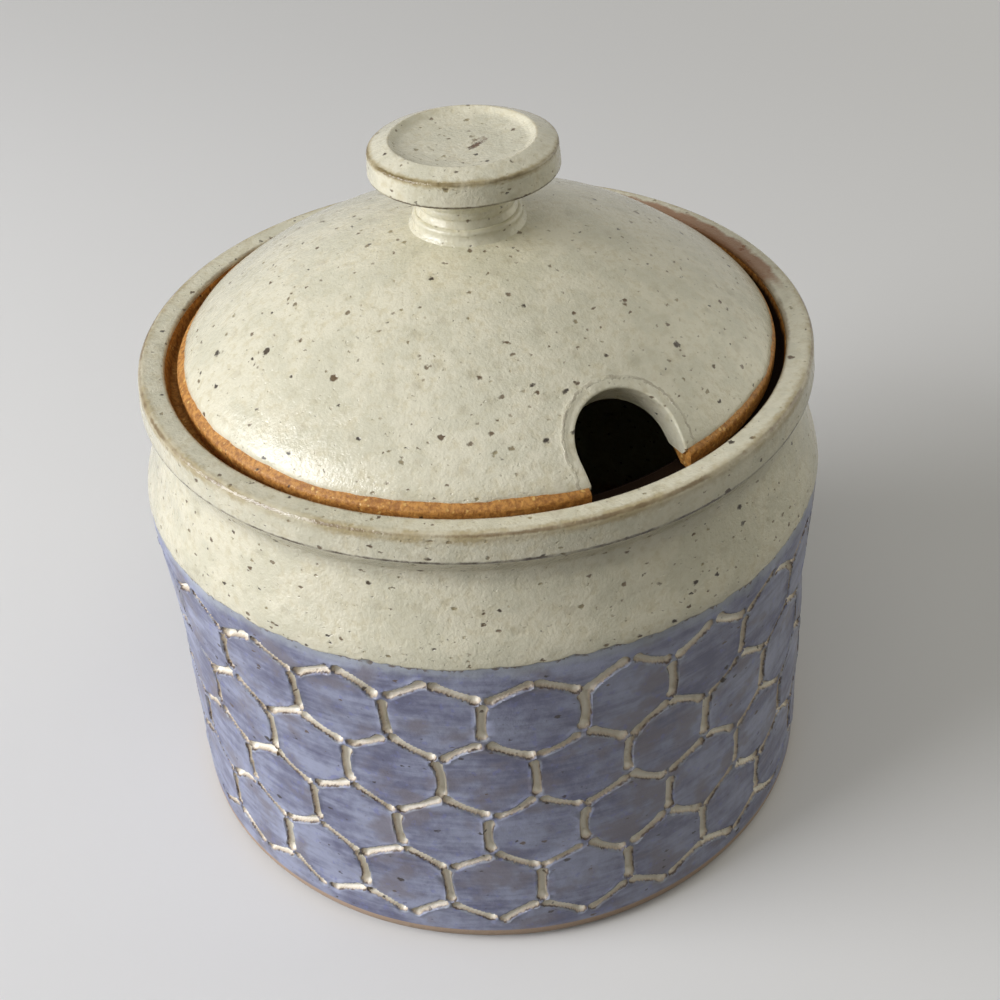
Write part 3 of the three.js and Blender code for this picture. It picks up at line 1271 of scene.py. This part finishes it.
    def lap_over(self, piece: Piece, rise: Array, profile: Array) -> None:
        """Lets the coat's foot wander along the dip line, and swells it to a rounded lip.

        Args:
            piece: the coat's skin.
            rise: the height of each point above the line's mean height.
            profile: points up the front of the jar's skin, from which the wall's radius is read.
        """
        points = places(piece)
        low = rise < self.lap_fade
        wander = self.line.at(points[low]) - self.band_top
        points[low, 2] += wander * np.clip(1 - rise[low] / self.lap_fade, 0, 1)
        radius = np.interp(points[low, 2], profile[:, 2], -profile[:, 1])
        bead = np.sqrt(1 - np.clip(1 - rise[low] / self.lap_round, 0, 1) ** 2)
        fade = np.clip((self.lap_fade - rise[low]) / (self.lap_fade - self.lap_height), 0, 1)
        radius += (bead * (self.lap + self.coat_gap) - self.coat_gap) * fade * fade * (3 - 2 * fade)
        points[low, :2] *= (radius / from_axis(points[low]))[:, None]
        move_to(piece, points)

    def build_band(self) -> Piece:
        """The band of slip with its carved honeycomb."""
        piece = Wheel(facets=270, spacing=1.33, arc_step=0.8).throw("carved_slip_band", self.skin())
        self.trim(piece, self.band_bottom, above=False)
        self.trim(piece, self.band_top + self.lap_room, above=True)
        self.carve(piece, Honeycomb(self.waist_radius, self.band_bottom + self.carve_from))
        points = places(piece)
        write_mark(piece, self.LINE_MARK, self.line.at(points) - points[:, 2])
        self.hand.shape(piece)
        self.back(piece)
        return piece

    def carve(self, piece: Piece, comb: Honeycomb) -> None:
        """Cuts the honeycomb into the band, on faces made fine enough for it."""
        distance, _ = comb.cut(face_centres(piece))
        pick(piece, Part.FACES, distance < self.carve_margin)
        with edit_mode(piece):
            bpy.ops.mesh.subdivide(number_cuts=self.carve_cuts, ngon=True)
        points = places(piece)
        distance, height = comb.cut(points)
        points[:, :2] *= (1 + height / from_axis(points))[:, None]
        move_to(piece, points)
        write_mark(piece, Honeycomb.MARK, distance)

    def back(self, piece: Piece) -> None:
        """Closes the band with a plain back."""
        heights = places(piece)[:, 2]
        for level in (heights.min(), heights.max()):
            points, pairs = places(piece), ends(piece)
            at_level = open_edges(piece) & (self.off_level(piece, level) < NEAR * 5)
            pick(piece, Part.EDGES, at_level)
            radius = from_axis(points[pairs[at_level, 0]]).mean()
            with edit_mode(piece):
                shrink = 1 - self.band_depth / radius
                extrude()
                bpy.ops.transform.resize(value=(shrink, shrink, 1), center_override=CENTRE)
        pick(piece, Part.EDGES, open_edges(piece))
        with edit_mode(piece):
            bpy.ops.mesh.bridge_edge_loops()
            face_out()

    def build(self) -> None:
        """Makes the jar's three pieces and dresses them."""
        straw = rgb(0.42, 0.33, 0.16)
        olive = rgb(0.19, 0.125, 0.05)
        brown = rgb(0.06, 0.036, 0.018)
        top, side = self.height, self.height - self.rim_band
        edges = (
            BrokenEdge(self.rim_radius, top - 0.5, 1.6, straw, 0.85, 11),
            BrokenEdge(self.rim_radius, top - 0.3, 0.5, olive, 0.9, 6),
            # A dark line along the lower edge of the rim's band, above the throat.
            BrokenEdge(self.rim_radius + self.rim_flare, side, 0.42, brown, 1.0, 5),
            BrokenEdge(self.mouth_radius, top - self.mouth_dip - 0.2, 0.8, olive, 0.7, 8),
        )
        clay = JarClay().material("jar_clay")
        neck = NeckGlaze(edges=edges).material("neck_glaze")
        slip = BlueSlip().material("carved_blue_slip")
        finish_piece(self.build_body(), clay, Finish.CLAY, Body.POT, "pot_body")
        finish_piece(self.build_neck(), neck, Finish.CREAM, Body.POT, "neck_glaze")
        finish_piece(self.build_band(), slip, Finish.BLUE, Body.POT, "slip_band")


@dataclass
class SpoonNotch:
    """A round-headed slot cut square to the dome, with its head towards the knob."""

    dome_radius: float
    dome_centre: float
    lid_radius: float
    width: float = 16.2
    depth: float = 10.4
    halvings: int = 40  # of the search for a place on the dome

    def __post_init__(self) -> None:
        """Works out where the slot's head lies and how far the slot leans."""
        self.half = self.width / 2
        self.crown = self.lid_radius - self.depth
        self.lean = math.asin((self.lid_radius - self.depth / 2) / self.dome_radius)
        self.crown_height = self.height_at(self.crown)

    def height_at(self, radius: float) -> float:
        """The dome's height at a radius from the axis."""
        return self.dome_centre + math.sqrt(self.dome_radius**2 - radius**2)

    def along(self, forward: Array, height: Array) -> Array:
        """How far a place lies from the slot's head towards the lid's edge, in the slot's plane."""
        across = np.asarray(forward) - self.crown
        down = self.crown_height - np.asarray(height)
        return across * math.cos(self.lean) + down * math.sin(self.lean)

    def outside(self, points: Array) -> Array:
        """The distance of each point from the slot's outline, less than zero inside."""
        past = self.along(-points[:, 1], points[:, 2])
        head = np.hypot(points[:, 0], past - self.half) - self.half
        return np.where(past < self.half, head, np.abs(points[:, 0]) - self.half)

    def outward(self, points: Array) -> Array:
        """The way straight out from the slot at each point, one row each."""
        past = np.minimum(self.along(-points[:, 1], points[:, 2]) - self.half, 0)
        length = np.hypot(points[:, 0], past)
        forward = np.array((0, -math.cos(self.lean), -math.sin(self.lean)))
        sideways = np.array((1, 0, 0))
        return (points[:, :1] * sideways + past[:, None] * forward) / length[:, None]

    def station(self, turn: float, gap: float) -> tuple[float, float]:
        """A place on the dome that lies a gap outside the slot's head.

        Args:
            turn: the angle round the head from its crown.
            gap: the distance from the slot's outline.

        Returns:
            The place's radius from the axis and its distance from the slot's middle.
        """
        side = (self.half + gap) * math.sin(turn)
        wanted = self.half - (self.half + gap) * math.cos(turn)
        low, high = self.crown - gap * 2, self.lid_radius
        for _ in range(self.halvings):
            forward = (low + high) / 2
            radius = math.hypot(forward, side)
            if self.along(forward, self.height_at(radius)) < wanted:
                low = forward
            else:
                high = forward
        return math.hypot(low, side), side

    @property
    def inward(self) -> Vector:
        """The way through the lid, square to the dome."""
        return Vector((0, math.sin(self.lean), -math.cos(self.lean)))


@dataclass
class Lid:
    """The lid: a clay dome with a coat of glaze that stops short of its edge."""

    hand: ThrowingHand = field(default_factory=lambda: ThrowingHand(0.16, 30, 0.05, 2.2, 8.0))
    edge: float = 3.9
    glaze_inset: float = 0.3
    rise: float = 19.4
    thickness: float = 3.6
    clay_drop: float = 0.6  # from the glazed surface to the clay below it
    foot_round: float = 0.9
    side_round: float = 0.8
    coat: float = 0.55
    cutter_depth: float = 24
    hole_radius: float = 8.4  # of the coat's opening under the knob
    ring_step: float = 1.25
    head_steps: int = 12
    edge_rings: tuple[float, ...] = (2.6, 1.9, 1.4, 1.0, 0.7, 0.45, 0.25, 0.12, 0.04, 0)
    wall_depth: float = 4.3
    roll: float = 0.36
    bead: float = 0.8  # width of the rounded edge where the coat meets the bare clay
    bare: float = 0.55  # by which the coat stops short of the clay's edge
    sag: float = 0.45  # share of the coat's thickness lost gently before its rounded edge
    sag_reach: float = 4.0
    fray_reach: float = 4.5  # from the edge, within which the rings follow its wandering
    bare_west: float = 0.45  # by how much more it does so on one side, and less on the other
    wander: float = 0.35  # of the coat's edge, in long waves
    frays: float = 0.2  # of the coat's edge, in short ones
    slot_reach: float = 0.75  # radians either side of the slot within which the faces are drawn along
    roll_steps: int = 5
    wall_steps: int = 3
    bare_foot: float = 2.3  # height of the slot's wall below the glaze
    ridges: tuple[tuple[float, float, float], ...] = (
        (0.17, 1.75, 0.36),  # its lift, its distance from the slot and its width
        (-0.07, 1.05, 0.4),
    )
    seam: float = 1e-4  # radians left open in the middle of the slot

    def __post_init__(self) -> None:
        """Takes the lid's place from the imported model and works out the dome."""
        clay = Extent.of("lid_dome")
        self.foot, self.radius = clay.bottom, clay.radius
        self.glaze_radius = self.radius - self.glaze_inset
        self.dome_radius = (self.glaze_radius**2 + self.rise**2) / (2 * self.rise)
        self.top = self.foot + self.edge + self.rise
        self.centre = self.top - self.dome_radius
        self.notch = SpoonNotch(self.dome_radius, self.centre, self.radius)

    def arc(self, radii: Sequence[float], shell: float) -> list[Corner]:
        """Corners on a shell of the dome at some radii from the axis."""
        return [Corner(r, self.centre + math.sqrt(shell**2 - r**2)) for r in radii]

    def build_clay(self) -> Piece:
        """The clay dome, hollow below, with the slot cut through it."""
        clay_radius = self.dome_radius - self.clay_drop
        hollow = clay_radius - self.thickness
        hollow_foot = math.sqrt(hollow**2 - (self.foot - self.centre) ** 2)
        outer = [self.glaze_radius * share for share in np.linspace(0, 0.985, 34)]
        inner = [hollow_foot * share for share in np.linspace(1, 0, 30)]
        side_top = self.centre + math.sqrt(clay_radius**2 - self.radius**2) + 0.25
        corners = [
            *self.arc(outer, clay_radius),
            Corner(self.radius, side_top, self.side_round),
            Corner(self.radius, self.foot, self.foot_round),
            *self.arc(inner[:-1], hollow),
            Corner(0, self.centre + hollow),
        ]
        piece = Wheel(facets=256, spacing=1.6, arc_step=0.35).throw("lid_clay", corners)
        self.hand.shape(piece, self.centre)
        self.cut_slot(piece)
        return piece

    def cut_slot(self, piece: Piece) -> None:
        """Cuts the clay nearly a coat's thickness wider than the glazed slot."""
        notch = self.notch
        half = notch.half + self.coat * 0.8
        depth = self.cutter_depth
        bpy.ops.object.select_all(action="DESELECT")
        bpy.ops.mesh.primitive_cylinder_add(vertices=96, radius=half * MM, depth=depth * MM)
        cutter = bpy.context.object
        # The front half of its side is drawn out past the lid's edge.
        pick(cutter, Part.FACES, face_centres(cutter)[:, 1] < -half * 0.02)
        with edit_mode(cutter):
            extrude((0, -depth * MM, 0))
        lean = Matrix.Rotation(notch.lean, 4, "X")
        crown = Matrix.Translation(Vector((0, -notch.crown, notch.crown_height)) * MM)
        cutter.data.transform(crown @ lean @ Matrix.Translation((0, -notch.half * MM, 0)))
        apply_modifier(piece, "BOOLEAN", object=cutter, operation="DIFFERENCE", solver="EXACT")
        bpy.data.objects.remove(cutter)

    def coat_radii(self) -> tuple[list[float], list[float]]:
        """The radii of the coat's rings, and the half width of its opening at each."""
        crown, _ = self.notch.station(0, self.roll)
        rings = math.ceil((crown - self.hole_radius) / self.ring_step)
        radii = list(np.linspace(self.hole_radius, crown, rings + 1))
        halves = [0.0] * len(radii)
        for index in range(1, self.head_steps + 1):
            radius, side = self.notch.station(index / self.head_steps * QUARTER_TURN, self.roll)
            radii.append(radius)
            halves.append(side)
        edge = self.glaze_radius - np.array(self.edge_rings)
        straight = edge[edge > radii[-1] + 0.3]
        return radii + list(straight), halves + [halves[-1]] * len(straight)

    def build_coat(self) -> Piece:
        """The coat of glaze, which runs over the slot's edge and down its wall."""
        radii, halves = self.coat_radii()
        wheel = Wheel(facets=320, spacing=9, seam=self.seam)
        piece = wheel.throw("lid_glaze_coat", self.arc(radii, self.dome_radius))
        self.open_slot(piece, radii, halves)
        self.turn_down(piece)
        from_edge = self.glaze_radius - from_axis(places(piece))
        self.raise_ring(piece)
        self.fray(piece, from_edge)
        shares = np.interp(from_edge, (0, 0.5, self.bead), (0.15, 0.6, 1))
        give_wall(piece, self.coat, shares)
        write_mark(piece, LidGlaze.MARK, self.notch.outside(places(piece)))
        self.hand.shape(piece, self.centre)
        return piece

    @staticmethod
    def polar(piece: Piece) -> tuple[Array, Array, Array]:
        """The piece's points, and each one's turn from the slot's middle and radius from the axis."""
        points = places(piece)
        return points, np.arctan2(points[:, 0], -points[:, 1]), from_axis(points)

    def open_slot(self, piece: Piece, radii: list[float], halves: list[float]) -> None:
        """Closes the seam above the slot and draws its sides apart along the slot's outline.

        Args:
            piece: the coat's skin.
            radii: the radii of its rings.
            halves: the half width of the slot at each ring.
        """
        points, turn, radius = self.polar(piece)
        crown, _ = self.notch.station(0, self.roll)
        pick(piece, Part.POINTS, (np.abs(turn) < self.seam * 4) & (radius < crown + NEAR))
        with edit_mode(piece):
            bpy.ops.mesh.remove_doubles(threshold=self.seam * self.radius * MM * 2)
        points, turn, radius = self.polar(piece)
        opening = np.arcsin(np.interp(radius, radii, halves) / radius)
        away = np.abs(turn)
        drawn = away + opening * (1 - away / self.slot_reach) ** 2
        away = np.where(away < self.slot_reach, drawn, away)
        turn = np.where(turn > self.seam / 2, away, -away)
        points[:, 0] = radius * np.sin(turn)
        points[:, 1] = -radius * np.cos(turn)
        move_to(piece, points)

    def turn_down(self, piece: Piece) -> None:
        """Rolls the glaze over the slot's edge and runs it down the slot's wall."""
        turns = np.linspace(0, QUARTER_TURN, self.roll_steps + 1)
        on_slot = np.abs(self.notch.outside(places(piece)) - self.roll) < 0.06
        pick(piece, Part.EDGES, open_edges(piece) & on_slot[ends(piece)].all(axis=1))
        for before, after in zip(turns, turns[1:]):
            points, ring = self.run_on(piece)
            across = self.notch.outward(ring) * (math.sin(before) - math.sin(after))
            down = np.array(self.notch.inward) * (math.cos(before) - math.cos(after))
            ring += (across + down) * self.roll
            move_to(piece, points)
        for left in range(self.wall_steps, 0, -1):
            points, ring = self.run_on(piece)
            room = (ring[:, 2:] - self.foot - self.bare_foot) / math.cos(self.notch.lean)
            wanted = (self.wall_depth - self.roll) * left / self.wall_steps
            ring += np.array(self.notch.inward) * np.minimum(room, wanted) / left
            move_to(piece, points)
        with edit_mode(piece):
            face_out()

    @staticmethod
    def run_on(piece: Piece) -> tuple[Array, Array]:
        """Extrudes the selected edge by another row.

        Returns:
            All of the points, and the view of them that holds the new row.
        """
        count = len(piece.data.vertices)
        with edit_mode(piece):
            extrude()
        points = places(piece)
        return points, points[count:]

    def fray(self, piece: Piece, from_edge: Array) -> None:
        """Makes the coat's edge wander, and rounds it down to the clay.

        Args:
            piece: the coat's skin.
            from_edge: each point's distance from the edge before it wanders.
        """
        points = places(piece)
        pole = np.array((0, 0, self.centre))
        shell = np.linalg.norm(points - pole, axis=1)
        weight = np.clip(1 - from_edge / self.fray_reach, 0, 1) ** 2
        on_dome = shell > self.dome_radius - 0.4
        for index in np.flatnonzero((weight > 0) & on_dome):
            x, y, _ = points[index]
            radius = math.hypot(x, y)
            flat = Vector((x, y, 0)) / radius
            slow = noise.noise(flat * 4 + Vector((4, 0, 0)))
            fine = noise.noise(flat * 14) + 0.6 * noise.noise(flat * 34)
            short = self.bare - self.bare_west * flat.x + self.wander * slow + self.frays * fine
            shrink = 1 - max(short, 0) * weight[index] / radius
            x, y = x * shrink, y * shrink
            inside = min(max(from_edge[index] / self.bead, 0), 1)
            fall = (1 - math.sqrt(1 - (1 - inside) ** 2)) * (1 - self.sag)
            bend = max(1 - from_edge[index] / self.sag_reach, 0) ** 2 * self.sag
            reach = shell[index] - self.clay_drop * (fall + bend)
            points[index] = (x, y, self.centre + math.sqrt(reach**2 - x * x - y * y))
        move_to(piece, points)

    def raise_ring(self, piece: Piece) -> None:
        """Raises the ridge that the cutter pushed up round the slot, with a dip inside it."""
        points = places(piece)
        distance = self.notch.outside(points)
        lift = np.zeros(len(points))
        for height, away, width in self.ridges:
            lift += height * np.exp(-(((distance - away) / width) ** 2))
        lift *= np.clip((self.glaze_radius - 1 - from_axis(points)) / 3, 0, 1)
        lift *= distance > self.roll / 2
        outward = points - np.array((0, 0, self.centre))
        outward /= np.linalg.norm(outward, axis=1)[:, None]
        move_to(piece, points + outward * lift[:, None])

    def build(self) -> None:
        """Makes the lid's two pieces and dresses them."""
        glaze = LidGlaze().material("lid_glaze")
        clay = BareClay().material("lid_clay")
        finish_piece(self.build_clay(), clay, Finish.CLAY, Body.LID, "lid_dome")
        finish_piece(self.build_coat(), glaze, Finish.CREAM, Body.LID, "lid_glaze")


@dataclass
class Knob:
    """The finger knob and the coil that lutes it to the dome, measured from the top of the dome."""

    dome_top: float
    hand: ThrowingHand = field(default_factory=lambda: ThrowingHand(0.08, 14, 0.025, 1.1, 5.0))
    tenon_radius: float = 6.5
    tenon_depth: float = 0.4
    step_drop: float = 0.7  # from the shoulder down to the step above the tenon
    shoulder: float = 1.2
    stem_radius: float = 8.05
    waist_radius: float = 7.7
    stem_top: float = 4.9
    stem_round: float = 2.2
    cap_radius: float = 14.95
    cap_foot: float = 8.4
    cap_side: float = 3.67
    cap_draft: float = 0.3
    bevel_width: float = 3.36
    bevel_rise: float = 1.31
    dish_depth: float = 1.4
    edge_round: float = 0.45
    crease: float = 0.12  # depth of a throwing mark
    crease_heights: tuple[float, float] = (1.5, 2.7)  # of the marks, above the shoulder
    coil_radius: float = 8.8
    coil_round: float = 0.7
    fillet_radius: float = 9.6

    @property
    def cap_top(self) -> float:
        """The height of the top of the cap's side."""
        return self.cap_foot + self.cap_side

    def at(self, radius: float, height: float, rounding: float = 0.0) -> Corner:
        """A corner measured up from the top of the dome."""
        return Corner(radius, self.dome_top + height, rounding)

    def build_knob(self) -> Piece:
        """The cap on its stem."""
        top_radius = self.cap_radius - self.cap_draft
        dish_radius = top_radius - self.bevel_width
        dish_edge = self.cap_top + self.bevel_rise
        creases = [
            self.at(self.waist_radius - depth, self.shoulder + height + rise, 0.25)
            for height in self.crease_heights
            for rise, depth in ((-0.3, 0), (0, self.crease), (0.3, 0))
        ]
        step = self.shoulder - self.step_drop
        corners = [
            self.at(0, -self.tenon_depth),
            self.at(self.tenon_radius, -self.tenon_depth),
            self.at(self.tenon_radius, step),
            self.at(self.stem_radius, step),
            self.at(self.stem_radius, self.shoulder + 0.5, 0.5),
            *creases,
            self.at(self.waist_radius, self.stem_top, self.stem_round),
            self.at(self.cap_radius, self.cap_foot, self.edge_round),
            self.at(top_radius, self.cap_top, self.edge_round),
            self.at(dish_radius, dish_edge, self.edge_round),
            self.at(dish_radius * 0.89, dish_edge - self.dish_depth * 0.66, 2),
            self.at(dish_radius * 0.58, dish_edge - self.dish_depth * 0.96, 7),
            self.at(0, dish_edge - self.dish_depth),
        ]
        piece = Wheel(facets=192, spacing=0.7, arc_step=0.15).throw("finger_knob", corners)
        self.hand.shape(piece)
        return piece

    def build_coil(self) -> Piece:
        """The bead round the stem's foot, drawn down to the dome."""
        inside = self.stem_radius - 1
        top, hidden = self.shoulder + 0.35, self.shoulder - 0.75
        corners = [
            self.at(inside, -0.62),
            self.at(self.fillet_radius, -0.86),
            self.at(self.fillet_radius - 0.1, -0.74),
            self.at(self.coil_radius - 0.1, 0.15, 1.2),
            self.at(self.coil_radius, top, self.coil_round),
            self.at(self.stem_radius - 0.3, top),
            self.at(self.stem_radius + 0.05, hidden),
            self.at(inside, hidden),
        ]
        piece = Wheel(facets=160, spacing=0.5, arc_step=0.15).throw("luting_coil", corners, ring=True)
        self.hand.shape(piece)
        return piece

    def build(self) -> None:
        """Makes the knob and its coil and dresses them."""
        straw = rgb(0.42, 0.33, 0.15)
        olive = rgb(0.20, 0.145, 0.05)
        brown = rgb(0.085, 0.055, 0.028)
        cap_top = self.dome_top + self.cap_top
        dish_radius = self.cap_radius - self.cap_draft - self.bevel_width
        edges = (
            BrokenEdge(self.cap_radius - self.cap_draft, cap_top, 1.0, straw, 0.8, 9),
            BrokenEdge(self.cap_radius - self.cap_draft, cap_top, 0.5, olive, 1.0, 5),
            # A dark line along the lower edge of the knob's cap.
            BrokenEdge(self.cap_radius, self.dome_top + self.cap_foot, 0.4, brown, 1.0, 5),
            BrokenEdge(dish_radius, cap_top + self.bevel_rise, 0.25, straw, 0.4, 6),
        )
        glaze = KnobGlaze(edges=edges).material("knob_glaze")
        finish_piece(self.build_knob(), glaze, Finish.CREAM, Body.LID, "knob")
        coil_glaze = CreamGlaze().material("coil_glaze")
        finish_piece(self.build_coil(), coil_glaze, Finish.CREAM, Body.LID, "knob_coil")


@dataclass(frozen=True)
class Lamp:
    """A soft lamp: its bearing and elevation from the pot in degrees, then its distance, size, power
    and tint.
    """

    name: str
    bearing: float
    elevation: float
    distance: float
    width: float
    height: float
    power: float
    tint: Colour
    slant: float = 0.0  # degrees by which it is turned in its own plane

    def place(self, target: Vector) -> None:
        """Sets the lamp up, facing a point."""
        bearing, elevation = math.radians(self.bearing), math.radians(self.elevation)
        flat = math.cos(elevation)
        away = Vector((math.sin(bearing) * flat, -math.cos(bearing) * flat, math.sin(elevation)))
        data = bpy.data.lights.new(self.name, "AREA")
        data.shape = "RECTANGLE"
        data.size, data.size_y = self.width, self.height
        data.energy = self.power
        data.color = self.tint[:3]
        lamp = bpy.data.objects.new(self.name, data)
        lamp.location = target + away * self.distance
        slant = Quaternion(UP, math.radians(self.slant))
        lamp.rotation_euler = (away.to_track_quat("Z", "Y") @ slant).to_euler()
        bpy.context.collection.objects.link(lamp)


@dataclass
class Studio:
    """A pale floor, soft lamps and the camera of the photograph's view."""

    camera_place: tuple[float, float, float] = (-89.1, -172.6, 203.6)
    camera_turn: tuple[float, float, float] = (51.64, 2.63, -30.11)
    lens: float = 48.63
    target: tuple[float, float, float] = (0, 0, 60)  # where the lamps point
    floor_size: float = 6.0
    floor_fades: tuple[float, float] = (0.3, 0.95)  # metres from the pot, where it turns into the sky
    floor_seen: Colour = rgb(0.80, 0.795, 0.785)
    floor_bounce: Colour = rgb(0.17, 0.155, 0.125)  # what the floor gives back to the pot
    sky: Colour = rgb(1.0, 0.99, 0.96)
    sky_light: float = 0.18
    sky_seen: float = 0.6
    lamps: tuple[Lamp, ...] = (
        Lamp("window", -104, 26, 1.0, 0.7, 0.42, 9.8, rgb(0.985, 0.99, 1.03), 24),
        Lamp("low_window", -88, 10, 1.0, 0.45, 0.15, 0.9, rgb(0.985, 0.99, 1.03), 12),
        Lamp("pale_wall", 82, 18, 1.2, 0.9, 0.9, 3.0, rgb(1.0, 0.965, 0.8)),
        Lamp("ceiling", -35, 68, 1.3, 1.1, 1.1, 2.9, rgb(1.0, 0.985, 0.94)),
    )

    def build(self) -> None:
        """Sets up the view, the light and the floor."""
        self.place_camera()
        self.lay_floor()
        self.hang_sky()
        for lamp in self.lamps:
            lamp.place(Vector(self.target) * MM)
        bpy.context.scene.view_settings.view_transform = "Standard"

    def place_camera(self) -> None:
        """The camera, at the photograph's viewing angle."""
        data = bpy.data.cameras.new("view")
        data.lens = self.lens
        data.clip_start = 0.01
        camera = bpy.data.objects.new("view", data)
        camera.location = Vector(self.camera_place) * MM
        camera.rotation_euler = [math.radians(angle) for angle in self.camera_turn]
        bpy.context.collection.objects.link(camera)
        bpy.context.scene.camera = camera

    def hang_sky(self) -> None:
        """An even sky, which the camera and the gloss see brighter than it lights the pot."""
        world = bpy.data.worlds.new("soft_sky")
        world.use_nodes = True
        nodes, links = world.node_tree.nodes, world.node_tree.links
        sky = nodes["Background"]
        sky.inputs["Color"].default_value = self.sky
        path = nodes.new("ShaderNodeLightPath")
        seen = nodes.new("ShaderNodeMath")
        seen.operation = "MAXIMUM"
        strength = nodes.new("ShaderNodeMapRange")
        strength.inputs["To Min"].default_value = self.sky_light
        strength.inputs["To Max"].default_value = self.sky_seen
        links.new(path.outputs["Is Camera Ray"], seen.inputs[0])
        links.new(path.outputs["Is Glossy Ray"], seen.inputs[1])
        links.new(seen.outputs[0], strength.inputs["Value"])
        links.new(strength.outputs["Result"], sky.inputs["Strength"])
        bpy.context.scene.world = world

    def lay_floor(self) -> None:
        """A plain matt floor, which fades into the sky far from the pot."""
        bpy.ops.object.select_all(action="DESELECT")
        bpy.ops.mesh.primitive_plane_add(size=self.floor_size)
        floor = bpy.context.object
        floor.name = "floor"
        shader = Shader("floor")
        path = shader.node("ShaderNodeLightPath", output="Is Camera Ray")
        seen = path.or_more(path.beside("Is Glossy Ray")).or_more(path.beside("Is Transmission Ray"))
        colour = shader.mix(seen, self.floor_bounce, self.floor_seen)
        matt = shader.node("ShaderNodeBsdfDiffuse", {}, {"Color": colour}, "BSDF")
        sky = {"Color": self.sky, "Strength": self.sky_seen}
        glow = shader.node("ShaderNodeEmission", {}, sky, "Emission")
        share = (shader.radius * MM).ramp(*self.floor_fades) * seen
        inputs = {"Fac": share, "Shader": matt, "Shader_001": glow}
        shader.output(shader.node("ShaderNodeMixShader", {}, inputs, "Shader"))
        floor.data.materials.append(shader.material)


def main() -> None:
    """Builds the pot and the studio round it."""
    logging.basicConfig(level=logging.INFO, format="%(name)s: %(message)s")
    Studio().build()
    Jar().build()
    lid = Lid()
    lid.build()
    Knob(lid.top).build()


if __name__ == "__main__":
    main()
